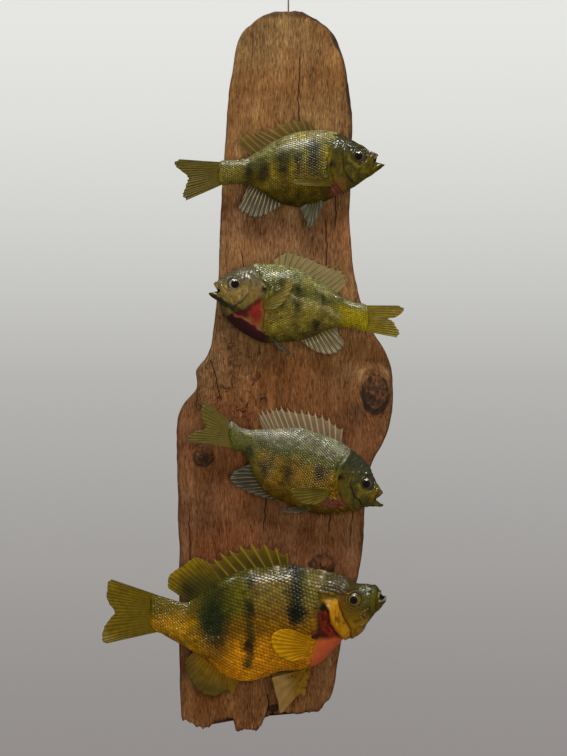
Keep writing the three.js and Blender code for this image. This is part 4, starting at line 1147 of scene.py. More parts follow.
def main_flank(u, v, share):
    """The body's colours: gold to orange, the olive back, three bars, pale painted highlights as small
    spots along the back, the bare red breast, and the crumpled membrane behind the gill plate, with
    painted light and shade on its folds and painted shade towards its edges."""
    colour = mix(BUFF, GOLD, rise(4, -18, v))
    patchy = 1 + 0.22 * lumps(u, v, 12, 9, 58) + 0.16 * lumps(u, v, 5, 5, 59)
    colour = mix(colour, ORANGE, rise(-22, -50, v) * rise(168, 140, u))
    colour = mix(colour, TAIL_GOLD, 0.85 * rise(152, 168, u) * rise(-8, -20, v))
    colour = colour * patchy[..., None]
    saddle = rise(114, 124, u) * rise(176, 160, u) * rise(-24, -4, v + (u - 130) * 0.3)
    first = band(u - 0.06 * v, 77.0, 7.6, 4) * rise(-26, -15, v)
    second = band(u, 119.3, 4.4, 4) * rise(8, 0, v) * rise(-64, -52, v)
    for tint, amount in (
        (OLIVE, 0.9 * saddle),
        (OLIVE * 0.7, 0.7 * rise(14, 27, v) * rise(60, 80, u)),
        (OLIVE * 0.8, 0.65 * rise(158, 176, u) * rise(-20, -4, v)),
        (OLIVE * 0.8, 0.5 * rise(60, 50, u) * rise(-6, 6, v)),
        (GREEN_BLACK * 0.8, 0.95 * first),
        (BLACK, 0.98 * blob(u, v, (78.0, -10.6), (9, 9))),
        (GREEN_BLACK * 1.4, 0.75 * second),
    ):
        colour = mix(colour, tint, amount)
    colour = spotted(colour, u, v, FLANK_SPOTS)
    # Painted highlights: pale spots along the upper back, as glints on the varnished scales.
    painted_sparkle = rise(0.12, 0.6, lumps(u, v, 2.0, 1.4, 90)) * rise(0.22, 0.05, share) * rise(140, 80, u)
    colour = mix(colour, PALE * 0.75, 0.5 * painted_sparkle * (1 - 0.75 * first))
    colour = mix(colour, RED, rise(-2.0, 1.5, beside(u, v, BREAST)) * rise(-30, -35, v))
    past = beside(u, v, MAIN_GILL)
    membrane = rise(-0.5, 0.8, past) * rise(66, 60, u + 0.15 * (v + 20))
    membrane = membrane * rise(-5, -9, v) * rise(-36, -30, v)
    # Painted light and shade: the membrane's colour follows its crumpled relief, lighter on the crests and
    # darker in the hollows. Painted shade darkens it right behind the gill edge and towards the body.
    fold_light_and_shade = 1 + 0.75 * lumps(past, v, 1.7, 5, 54) + 0.35 * lumps(u, v, 1.2, 1.2, 53)
    colour = mix(colour, DEEP_RED * np.clip(fold_light_and_shade, 0.2, 2.4)[..., None], membrane)
    colour = mix(colour, MAROON * 0.5, 0.8 * membrane * rise(7, 10, past))
    colour = mix(colour, DEEP_RED * 0.25, membrane * band(past, 1.2, 1.4))
    return spotted(colour, u, v, [(BLACK, (0.95, 1.6), (57.6, -6.6), (3.8, 3.8))])


def main_head(u, v):
    """The head's colours: olive, golden below, with teal before the eye, the streaked yellow gill plate
    and its pale fraying edge, partly pale skin and partly painted highlight, the jaw plate, painted shade
    in the crease and in the groove round the jaw plate, pale speckles before the eye painted as glints,
    the eyelid, the pale lips round the mouth and painted shade inside it."""
    past, behind = beside(u, v, MAIN_GILL), beside(u, v, MAIN_CREASE)
    skin = mix(CHEEK, CROWN, rise(4, 10, v))
    skin = mix(skin, YELLOW * 0.62, 0.75 * rise(-12, -22, v))
    skin = mix(skin, ORANGE * 0.8, 0.8 * rise(-23, -30, v) * rise(34, 28, u))
    skin = mix(skin, SNOUT, 0.7 * rise(24, 14, u) * rise(-12, -4, v))
    skin = spotted(skin, u, v, HEAD_SPOTS[:2])
    skin = mix(skin, CROWN * 0.55, 0.5 * rise(0.1, 0.6, lumps(u, v, 4, 3, 57)) * rise(36, 26, u))
    skin = spotted(skin, u, v, HEAD_SPOTS[2:])
    strand = 0.45 + 0.55 * lumps(behind, v, 1.8, 9, 65)
    plate = rise(-0.3, 0.9, behind) * rise(3, -1, v)
    skin = mix(skin, mix(YELLOW, YELLOW * np.array([0.6, 0.42, 0.3]), strand), plate)
    streaks = np.abs(lumps(behind + 0.25 * v, v, 1.7, 8.0, 66))
    fray_and_highlight = rise(-0.2, 0.5, lumps(u, v, 1.6, 1.2, 60))
    jaw_plate, upper_lip, lower_lip = (near_line(u, v, *row[:2]) for row in MAIN_JAWS[:3])
    specks_and_glints = rise(0.3, 0.7, lumps(u, v, 1.5, 1.9, 68)), rise(0.45, 0.8, lumps(u, v, 1.3, 1.1, 69))
    reach = np.hypot(u - MAIN_EYE[0], v - MAIN_EYE[1]) / MAIN_EYE_RADIUS
    pale_lips = 0.45 + 0.4 * lumps(u, v, 1.0, 0.8, 56)
    for tint, amount in (
        (BUFF * 0.35, 0.75 * plate * rise(0.20, 0.03, streaks)),
        (ORANGE * 0.7, 0.7 * plate * rise(-5, -0.5, past) * rise(-8, -14, v)),
        (YELLOW * 1.1, 0.8 * plate * blob(u, v, (37.5, -27.5), (3.2, 4.5))),
        # Pale patches at the top of the gill plate and before the ear flap: partly fraying skin, partly
        # painted highlight.
        (PALE, 0.8 * fray_and_highlight * blob(u, v, (49.0, 0.4), (3.6, 1.2))),
        (PALE, 0.75 * fray_and_highlight * blob(u, v, (52.6, -5.6), (2.2, 2.8))),
        # Painted shade: dark red along the groove of the crease.
        (DEEP_RED * 0.35, 0.8 * band(behind, 0.4, 0.7) * rise(3, -3, v)),
        (JAW, (0.45 + 0.35 * lumps(u, v, 1.8, 2.6, 55)) * rise(0.4, -0.4, jaw_plate)),
        # Painted shade in the groove round the jaw plate.
        (BLACK * 2, 0.4 * band(jaw_plate, 0.7, 0.4)),
        (BLACK * 2, 0.5 * specks_and_glints[0] * rise(20, 8, u)),
        # Painted highlights: the pale speckles on the cheek before the eye are glints.
        (PALE * 0.5, 0.6 * specks_and_glints[1] * rise(14, 17, u) * rise(26, 22, u)),
        (CROWN * 0.35, 0.8 * band(reach, 0.84, 0.05)),
        (YELLOW * 0.40, 0.5 * band(reach, 0.95, 0.07)),
        (CROWN * 0.5, 0.6 * band(reach, 1.10, 0.06)),
        (PALE * 0.6, pale_lips * rise(0.3, -0.4, upper_lip)),
        (PALE * 0.6, pale_lips * rise(0.3, -0.4, lower_lip)),
        # Painted shade inside the open mouth.
        (BLACK * 2.5, rise(1.10, 0.85, oval(u, v, *MAIN_OPENING[2:]))),
    ):
        skin = mix(skin, tint, amount)
    return skin


def main_markings(u, v, share):
    """The head's colours before the gill, and the body's behind it."""
    calm = 0.22 + 0.78 * rise(50, 68, u)
    u = u + calm * (2.2 * lumps(u, v, 8, 8, 61) + 1.2 * lumps(u, v, 3, 3, 62))
    v = v + calm * (2.2 * lumps(u, v, 8, 8, 63) + 1.2 * lumps(u, v, 3, 3, 64))
    head = rise(0.5, -0.5, beside(u, v, MAIN_GILL)) * rise(62, 54, u + 0.4 * (v - 6))
    return mix(main_flank(u, v, share), main_head(u, v), head)


main_skin = skin_piece(
    "main_skin", main_fish, main_markings,
    ["main_head", "main_lower_jaw", "main_gill_cover_right", "main_gill_cover_left",
     "main_trunk", "main_tail_stem"],
    rings=400, around=240,
)
print("main skin", len(main_skin.data.polygons), "triangles")

# %% Main scales
def main_scaled(u, v):
    """Scales cover the body behind the gills and the nape."""
    past = beside(u, v, MAIN_GILL)
    body = (past > 3.0) | (v > 6)
    red = (u < 63 + 0.15 * (v + 20)) & (v < -5) & (v > -33) & (past > 0)
    breast = (v < -31) & (beside(u, v, BREAST) > -2)
    return body & ~red & ~breast & (u > 33)


for side, word in ((1, "front"), (-1, "wall")):
    scales = scale_piece(
        f"main_scales_{word}", main_fish, main_markings, pitch=6.0, row=3.6, side=side,
        keep=main_scaled, seed=11 + side, edge=0.55, first=0.12, taper=0.85,
    )
    print(scales.name, len(scales.data.polygons), "triangles")

# %% [markdown]
# ### Its fins and eyes
# The spiny part of the back fin has nine spines with a torn yellow membrane. The soft fins have
# branched rays, darker between them towards the foot.

# %% Main fins
def ray_colours(low, high, between, tip=None, spots=0.0, deep=0.65, ray=None, fade=1.5, layers=()):
    """Goes from low at the foot to high at the rim. The membrane between the rays goes to
    `between` by deep, and less so at the rim if fade is small. Rays and tips may have colours of
    their own, and spots are dark. Further layers are a colour and a function of out, line, u, v
    that gives its share."""

    def colour(out, line, u, v):
        made = mix(low, high, rise(0.1, 0.9, out + 0.15 * lumps(u, v, 6, 6, 5)))
        made = made * (1 + 0.25 * lumps(u, v, 3, 3, 7))[..., None]
        made = mix(made, between, deep * rise(0.75, 0.15, line) * rise(fade, 0.3, out))
        if ray:
            made = mix(made, ray, 0.85 * rise(0.35, 0.75, line))
        if tip:
            made = mix(made, tip, rise(0.82, 0.98, out))
        if spots:
            made = mix(made, BLACK, spots * rise(0.35, 0.7, lumps(u, v, 1.5, 1.2, 6)))
        for tint, share in layers:
            made = mix(made, tint, share(out, line, u, v))
        return made

    return colour


MAIN_SPINY_FOOT = [[87.5, 28], [104, 26], [125, 22.5], [146, 14]]
MAIN_SPINY_TIPS = [
    [88.1, 41.2], [98.7, 46], [108.7, 49], [121.3, 49.8], [131.6, 48.1], [140.8, 44.3],
    [148.7, 41.5], [154.9, 36.7], [163.1, 35.8],
]
MAIN_SOFT_FOOT = [[146.6, 14], [155, 9], [165, 1.5], [174, -4]]
MAIN_SOFT_RIM = [
    [163.8, 35.6], [170.5, 37.6], [176, 34.6], [182.5, 29.8], [189, 26.5], [194, 21.8],
    [195.1, 16], [195.1, 10.7],
]
MAIN_ANAL_FOOT = [[130, -69], [143, -63], [156, -53], [168, -42]]
MAIN_ANAL_RIM = [
    [132.5, -77.5], [135, -80.5], [137.4, -88], [140.5, -82], [147, -84.5], [152, -87.7],
    [158.4, -86.8], [165.5, -84.1], [170.5, -79.5], [175, -73], [178, -66], [179.5, -59],
    [179.5, -54.6],
]
MAIN_TAIL_FOOT = [[203, 4], [204, -11], [203, -28.5]]
MAIN_TAIL_RIM = [
    [244.3, 19.2], [247.6, 17], [248.2, 10], [249, 4], [246.6, -2.5], [241.6, -9.8],
    [246, -15.5], [250.5, -22.4], [252.8, -31], [252, -36], [248.8, -37.6],
]
CREAM = (0.25, 0.145, 0.045)


def soft_spot(out, line, u, v):
    """A dark spot near the soft fin's foot, at the rear."""
    return 0.7 * blob(u, v, (177, 9), (10, 12))


def anal_gold(out, line, u, v):
    """Gold spreads from the foot of the fin, and over its torn front corner."""
    spread = rise(0.75, 0.1, out + 0.2 * lumps(u, v, 5, 5, 52)) + rise(146, 136, u)
    return np.clip(spread, 0, 1) * (0.25 + 0.5 * line)


def tail_tip(out, line, u, v):
    """The lower tip of the tail is pale."""
    return 0.7 * blob(u, v, (250, -33), (4, 5))


def tail_foot(out, line, u, v):
    """The foot of the tail shades into its stem."""
    return 0.5 * rise(0.25, 0.0, out) * rise(-20, -6, v)


def pelvic_cream(out, line, u, v):
    """The rear of the pelvic fin is cream."""
    return 0.8 * rise(78, 90, u) * rise(0.25, 0.65, out)


spiny_tint = ray_colours((0.030, 0.027, 0.004), (0.15, 0.095, 0.004), (0.055, 0.038, 0.003),
                         (0.22, 0.16, 0.02), ray=(0.20, 0.13, 0.006))
soft_tint = ray_colours((0.022, 0.028, 0.005), (0.22, 0.14, 0.003), (0.07, 0.048, 0.003),
                        layers=[(BLACK * 2, soft_spot)])
anal_tint = ray_colours((0.24, 0.12, 0.003), (0.085, 0.058, 0.010), (0.07, 0.045, 0.006), deep=0.8,
                        layers=[((0.36, 0.165, 0.003), anal_gold)])
tail_tint = ray_colours((0.105, 0.070, 0.002), (0.14, 0.090, 0.003), (0.100, 0.066, 0.002), deep=0.35,
                        layers=[((0.24, 0.19, 0.04), tail_tip), (OLIVE * 0.8, tail_foot)])
pectoral_tint = ray_colours((0.40, 0.18, 0.003), (0.56, 0.28, 0.002), (0.38, 0.17, 0.002))
pelvic_tint = ray_colours((0.26, 0.115, 0.003), (0.175, 0.095, 0.008), (0.115, 0.062, 0.004), spots=0.8,
                          layers=[(CREAM, pelvic_cream)])
main_fins = [
    fin_piece("main_fin_spiny", main_fish, MAIN_SPINY_FOOT, MAIN_SPINY_TIPS, 9, spiny_tint,
              spines=True, dip=0.24, columns=16),
    fin_piece("main_fin_soft", main_fish, MAIN_SOFT_FOOT, MAIN_SOFT_RIM, 12, soft_tint, fray=0.03),
    fin_piece("main_fin_anal", main_fish, MAIN_ANAL_FOOT, MAIN_ANAL_RIM, 18, anal_tint, fray=0.05),
    fin_piece("main_fin_tail", main_fish, MAIN_TAIL_FOOT, MAIN_TAIL_RIM, 20, tail_tint, fray=0.02,
              ridge=0.03),
]
for piece, node in zip(main_fins, ("dorsal_fin_spiny", "dorsal_fin_soft", "anal_fin", "caudal_fin")):
    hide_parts(f"main_{node}")

PECTORAL_FOOT = [[67.1, -31.5], [67.8, -40], [69.8, -50]]
PECTORAL_RIM = [
    [80, -26], [87, -24], [94, -24], [101.5, -28.5], [103, -35], [101, -42.5], [95, -49.5],
    [86, -53.4], [76, -51.2],
]
PELVIC_FOOT = [[67.5, -59], [75, -62.5]]
PELVIC_RIM = [
    [72.9, -86.3], [77.8, -84.6], [86.8, -93.1], [94.3, -101.1], [97, -91], [99.8, -80],
    [102.5, -69],
]


# How far the middle of each paired fin stands out: (u, v, share of the way out)
def near_pectoral(u, v, out):
    return main_fish.leaning(u) + main_fish.flank(u, v) + 1.15 + 4 * out


def wall_pectoral(u, v, out):
    return 0.95 - main_fish.seat + 0 * u


def near_pelvic(u, v, out):
    return main_fish.leaning(u) + 5 + 6 * out


def wall_pelvic(u, v, out):
    return main_fish.leaning(u) - 5 - 6 * out


pectoral = (PECTORAL_FOOT, PECTORAL_RIM, 13, pectoral_tint)
pelvic = (PELVIC_FOOT, PELVIC_RIM, 6, pelvic_tint)
for word, side, fin, stand in (
    ("pectoral", "right", pectoral, near_pectoral), ("pectoral", "left", pectoral, wall_pectoral),
    ("pelvic", "right", pelvic, near_pelvic), ("pelvic", "left", pelvic, wall_pelvic),
):
    piece = fin_piece(f"main_{word}_{side}", main_fish, *fin, stand=stand, columns=10, fray=0.02)
    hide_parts(f"main_{word}_fin_{side}")
    main_fins.append(piece)
print("main fins", sum(len(piece.data.polygons) for piece in main_fins), "triangles")

# %% Main eyes
for side, word in ((1, "right"), (-1, "left")):
    eye = eye_piece(f"main_glass_{word}", main_fish, MAIN_EYE, MAIN_EYE_RADIUS, MAIN_EYE_BULGE, side,
                    3.55, (0.14, 0.098, 0.018))
    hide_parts(f"main_eye_{word}")
print("main eyes set")

# %% [markdown]
# ## The three smaller fish
# They are built the same way from their own ribs, with fewer rings, and each is named after its
# one solid. A fish is one record of its sizes, marks and colours, so that one loop can make all
# three. Places are in the fish's own millimetres, and each fin has its foot and its rim.

# %% Small fish tables
TOP_FISH = SimpleNamespace(
    name="top", throat=None, painted_streak=None, chin=None, snout=(85.3, 189.9), faces=-1, seat=12.4,
    lean=dict(head=3, tail=6, neck=45, waist=90),
    ribs=[
        [-2.6, -2.6, -2.6, -2.6, 0], [2.4, 4, -2.4, -6.2, 3], [10.8, 8.5, 9, -14.4, 5.5],
        [18, 13.6, 14.4, -17.8, 7.5], [26, 18, 24.2, -24.4, 9.5], [35.9, 23.3, 35, -29.6, 11.5],
        [47.6, 26.6, 46.7, -35.5, 13.5], [62, 26.7, 62, -41.3, 15], [77.2, 24.5, 76.3, -41.9, 15],
        [92.5, 18.6, 91.6, -38.4, 13.5], [105.9, 10.7, 105.1, -30.5, 11],
        [119.4, 2.2, 117.6, -23.3, 8], [131.1, -0.5, 130.2, -21.6, 5.5],
        [143.7, -1.8, 143.7, -22.1, 3.5], [146.4, -11.7, 146.4, -11.7, 0],
    ],
    eye=((19.8, 2.7), 6.6, 2.7), glass=(3.7, (0.075, 0.055, 0.022)),
    gill=[(43, 8), (44.5, 2), (45.8, -9), (43.1, -19.8), (35, -28.7)],
    crease=[(34, 6), (34, -6), (31, -14), (26, -20)],
    jaws=[([(7.5, 4.5), (9.0, -2), (8.6, -8)], 2.0, 0.8), ([(8, 7), (4, 4.6)], 1.4, 0.5),
          ([(-1.5, -4.6), (3, -6.5), (8, -10)], 1.6, 0.6)],
    opening=([(-5.2, -9), (-4.2, -1.0), (-3.4, 0.6), (-2.7, 3.8), (-1.5, 4.2), (1.5, 3.2),
              (3.4, 2.2), (4.4, -9)], 1.5, (3.6, -1.2), (2.6, 1.7)),
    bars=[(117.7, -11.5, 4.0, 8), (103.7, -11.8, 4.5, 10), (86.2, -7.2, 5, 12), (73, -4, 3, 10),
          (60.3, -1.3, 5, 9), (58, 12, 5, 8)], turn=(0.26, 0.5),
    red=((38, -26), (6, 8)), ear=(45.5, -5), breast=(0.20, 0.05, 0.03), stem=(0.13, 0.10, 0.010),
    lit=[(97, -11, 4, 7), (77, -7, 4, 7), (66, 1, 4, 8), (49, 5, 5, 8), (105, -25, 7, 4), (67, 20, 8, 3)],
    patches=0.2, gold=(0.096, 0.062, 0.001), back=(0.24, 0.21, 0.065), cheek=(0.049, 0.039, 0.005),
    crown=(0.045, 0.042, 0.012),
    spiny=([[56, 23], [75, 21], [95, 13], [115, 2]],
           [[62, 32.3], [67.3, 38.6], [73.6, 39.5], [81.7, 37], [89, 35.7], [101.5, 30.5],
            [113.1, 27.8], [120.3, 27.4], [126.6, 26], [133.8, 18]], 13, 0.20),
    spiny_tint=dict(low=(0.060, 0.045, 0.009), high=(0.19, 0.115, 0.022), between=(0.075, 0.045, 0.010),
                    tip=(0.20, 0.14, 0.04), ray=(0.16, 0.10, 0.02), deep=0.8),
    anal_tint=((0.34, 0.29, 0.17), (0.50, 0.44, 0.30), (0.040, 0.029, 0.014)),
    anal=([[90, -34], [106, -25], [119.5, -18]],
          [[89.8, -41.5], [95.2, -44.9], [101.5, -48.5], [108.6, -51.2], [115.8, -52.1],
           [122, -50], [127, -46], [127.5, -41.3], [119.4, -31.4]]),
    tail_colour=(0.112, 0.082, 0.005),
    tail=([[141, -2.5], [142, -12], [141, -22]],
          [[180.5, -0.9], [185, -3.6], [184.1, -7.2], [178, -12.5], [173.3, -17.1],
           [174.2, -21.5], [176.9, -28.7], [177.8, -33.2], [175.1, -37.7]]),
    pelvic=([[53, -36], [66, -38]],
            [[51.5, -39], [56.6, -52.1], [61.1, -58.4], [64.6, -63.7], [67.3, -57.5],
             [70, -50.3], [72.7, -44]]),
    pectoral=([[44.5, -19], [44.5, -24.5]], [[60, -18.5], [78, -19.5], [79, -23], [70, -24.5], [60, -25]]),
)
SECOND_FISH = SimpleNamespace(
    name="second", snout=(-66, 72.3), faces=1, seat=12.9,
    lean=dict(head=4, tail=6, neck=50, waist=80),
    ribs=[
        [-3.3, -1.6, -3.3, -1.6, 0], [1, 6.4, -0.6, -6, 3.5], [6.7, 9.5, 5.8, -10.3, 6],
        [12.1, 14.8, 9, -18, 8.5], [19.3, 18.7, 14.8, -27.4, 11], [29.2, 22.3, 22.9, -34.6, 13],
        [40, 24.4, 32.8, -40.9, 14.5], [53.4, 24.2, 45.3, -46.4, 15.5],
        [66.9, 22.4, 60.6, -45.6, 14.5], [80.4, 18, 75.9, -44.8, 13],
        [93.8, 10.2, 90.2, -40.9, 11], [106.4, 1.6, 102.8, -35.2, 9],
        [117.2, -6.2, 115.4, -32.8, 6.5], [127.9, -10.7, 127, -33.6, 5],
        [137.8, -13, 136.9, -35.9, 3.5], [140.5, -25.1, 140.5, -25.1, 0],
    ],
    eye=((19.8, 5.8), 6.4, 2.6), glass=(3.8, (0.26, 0.22, 0.14)),
    gill=[(40, 14), (40.9, 10.8), (45.3, 5.4), (48.9, 0.9), (46.2, -4.5), (41, -8.5),
          (35.4, -12.6), (28.2, -17.6), (21.1, -20)],
    crease=[(34, 8), (33, -2), (28, -9), (20, -14)],
    jaws=[([(6.5, 7.5), (8.2, 1), (7.2, -4)], 2.0, 0.8), ([(8, 9), (3, 7)], 1.4, 0.5),
          ([(-2.5, -2.6), (3, -4.0), (12, -10), (22, -18.5)], 1.8, 0.6)],
    opening=([(-2.4, -9), (-1.8, -2.2), (-1.2, 0.8), (-0.5, 5.0), (1.5, 3.8), (4.6, 1.2),
              (5.6, 0.6), (6.8, -9)], 1.5, (4.4, -0.2), (2.4, 1.7)),
    bars=[(98.3, -9, 3.5, 9), (75, -8, 4.5, 16), (91, -31, 5, 7), (60, 0, 3, 12)],
    lit=[(86, 7, 5, 6), (103, -1, 5, 5), (67, 4, 4, 7), (55, -33, 8, 5), (84, -22, 4, 6)], patches=0.25,
    red=((40, -20), (5, 9)), ear=(46.2, 1.6),
    throat=[(8, -14), (13, -17), (21, -22.5), (28.8, -24), (34.8, -28.1), (42, -33), (52, -41)],
    painted_streak=[(60, -1), (76, -8), (94, -14), (112, -22)],
    chin=[(-3, -4.5), (4, -8), (14, -13), (25, -19)], turn=(0.26, 0.5),
    breast=(0.21, 0.018, 0.010), stem=(0.27, 0.205, 0.003), gold=(0.175, 0.132, 0.018),
    back=(0.24, 0.235, 0.090), cheek=(0.265, 0.165, 0.052), crown=(0.11, 0.093, 0.046),
    spiny=([[56, 21], [74, 17.5], [93, 7.5], [110, -4]],
           [[54.5, 28.7], [61, 35.5], [69.6, 38.6], [78, 36.2], [86, 33.2], [95, 30.5],
            [103.5, 26.5], [111, 23.8], [119, 22.4], [124.2, 17], [121.7, 7.2]], 15, 0.22),
    spiny_tint=dict(low=(0.15, 0.12, 0.045), high=(0.28, 0.215, 0.095), between=(0.21, 0.16, 0.065),
                    tip=(0.24, 0.18, 0.08), ray=(0.085, 0.066, 0.024), deep=0.8, fade=4),
    anal_tint=((0.38, 0.32, 0.14), (0.60, 0.54, 0.36), (0.085, 0.064, 0.026)),
    anal=([[76, -38], [93, -32], [108, -28]],
          [[80, -45.5], [86, -50.5], [93, -54.7], [101, -57.2], [109, -57.2], [115.4, -53.9],
           [119, -46.7], [114, -40], [112, -33]]),
    tail_colour=(0.218, 0.156, 0.009),
    tail=([[135, -13], [136, -24.5], [135, -36]],
          [[166.6, -13.5], [171.5, -16.2], [170.1, -19.8], [163.9, -24.2], [157.6, -25.1],
           [162.1, -27.8], [164.8, -32.3], [167.5, -37.7], [165.7, -42.2]]),
    pelvic=([[45, -36], [49, -39]], [[60, -51.5], [71.4, -58], [71, -56], [62, -50], [54, -44]]),
    pectoral=([[45.5, -9], [46, -17.5]],
              [[56, -2.5], [65, 3], [72.3, 5.4], [69.6, -1.8], [64.2, -10.8], [56.1, -17.1]]),
)
THIRD_FISH = SimpleNamespace(
    name="third", throat=None, painted_streak=None, chin=None, snout=(87.1, -114.5), faces=-1, seat=12.4,
    lean=dict(head=3, tail=5, neck=45, waist=90),
    ribs=[
        [-0.9, 0, -0.9, 0, 0], [0, 5.4, 0, -5.4, 3], [3.1, 10.7, 5.4, -7.1, 5.5],
        [7.6, 18.5, 13.5, -7.1, 8], [12.1, 29.3, 22.4, -9.2, 10], [20.7, 38.6, 33.2, -12.3, 12],
        [30.5, 46.3, 45.8, -13.6, 14], [42.2, 53, 60.2, -13.2, 15], [56.6, 58.4, 74.5, -8.1, 14.5],
        [72.7, 63.3, 88, -2.4, 13], [88.9, 63.7, 101.5, 3, 11], [105.1, 62.5, 113.1, 16.2, 8.5],
        [117.6, 62.4, 120.3, 32.6, 6.5], [127.5, 64, 125.7, 42.2, 5],
        [136.5, 69.5, 133.8, 44.7, 3.5], [139.2, 57.5, 139.2, 57.5, 0],
    ],
    eye=((14.8, 14.4), 6.4, 2.6), glass=(3.7, (0.060, 0.055, 0.032)),
    gill=[(34, 36), (37.7, 29.6), (40.4, 18.9), (40.4, 8.1), (36.8, -0.9), (29.6, -8.1)],
    crease=[(28, 22), (29, 12), (26, 3), (20, -3)],
    jaws=[([(4.5, 9.5), (8.5, 3.5), (11.5, -2)], 1.7, 0.8), ([(5, 12), (1.6, 6)], 1.4, 0.5),
          ([(1.2, -5.6), (8, -5.0), (14, -5.5)], 1.4, 0.6)],
    opening=([(-5.0, -9), (-4.4, 0.2), (-3.6, 1.6), (-1.6, 5.2), (0, 7.0), (1.6, 5.0),
              (3.8, 1.6), (4.8, 0.4), (5.6, -9)], 1.5, (5.4, 0.0), (2.8, 1.7)),
    bars=[(105.3, 26, 4.5, 9), (84, 22, 5, 11), (55.5, 22, 5.5, 9), (118, 42, 4, 7)],
    red=((44, -3), (10, 5)), ear=(39.6, 20), breast=(0.16, 0.045, 0.030), stem=(0.10, 0.095, 0.010),
    gold=(0.190, 0.100, 0.001), back=(0.25, 0.245, 0.155), turn=(0.32, 0.56), lit=[], patches=0.25,
    cheek=(0.072, 0.060, 0.009), crown=(0.040, 0.042, 0.020),
    spiny=([[38, 48], [57, 55], [78, 59.5], [96, 60], [107, 58.5]],
           [[35.9, 64.6], [44, 70.5], [50.5, 75.6], [58.4, 78.3], [66.4, 80.8], [74.5, 82.7],
            [83.5, 83.8], [92, 85], [99.7, 84.8], [106.5, 82.5], [113.1, 79.5], [110.4, 70]], 17, 0.20),
    spiny_tint=dict(low=(0.085, 0.060, 0.026), high=(0.33, 0.24, 0.14), between=(0.150, 0.098, 0.050),
                    tip=(0.34, 0.26, 0.15), ray=(0.36, 0.29, 0.18), deep=0.8, fade=2.5),
    anal_tint=((0.13, 0.11, 0.06), (0.32, 0.28, 0.19), (0.020, 0.015, 0.008)),
    anal=([[85, 2], [98, 8], [108, 18], [115, 30]],
          [[91, -1.5], [101.5, 0], [110, 2], [118, 5], [126, 8], [134, 12], [138.3, 17.1],
           [135.6, 23.3], [128.4, 27.8], [118.5, 32]]),
    tail_colour=(0.15, 0.115, 0.022),
    tail=([[134, 67], [136, 57.5], [132, 46]],
          [[160.7, 88.9], [162.8, 82], [162.6, 72], [159.8, 63.7], [168, 61.2], [176.9, 55],
           [174, 51.8], [166, 50.2]]),
    pelvic=([[60, -9], [66, -8]], [[80, -12.5], [95.2, -11.5], [92, -9.5], [80, -7]]),
    pectoral=([[48, 9], [48.5, 3]], [[60, 10.5], [81.7, 10.5], [81.5, 4], [74.5, -3.6], [60, -4.5]]),
)
print("tables for", [small.name for small in (TOP_FISH, SECOND_FISH, THIRD_FISH)])

# %% [markdown]
# Younger fish are olive with a yellow flank, dark bars, sunlit yellow patches and a pale silvery back,
# partly their own colour and partly painted highlight, with painted glints on it. One fish has a painted
# highlight streak of silver along its side and a bare red throat. Each bar is a tall soft spot, and a
# bright crescent lies under each eye, so one function of the table serves all three.

# %% Small fish colours
STREAK_HIGHLIGHT, SMALL_OLIVE = np.array([0.19, 0.17, 0.065]), np.array([0.062, 0.062, 0.010])
HEAD_GOLD, SUNLIT = np.array([0.150, 0.108, 0.005]), np.array([0.30, 0.222, 0.010])
THROAT_RED, THROAT_DARK, THROAT_RIDGE = (0.10, 0.014, 0.011), (0.034, 0.009, 0.008), (0.40, 0.12, 0.07)


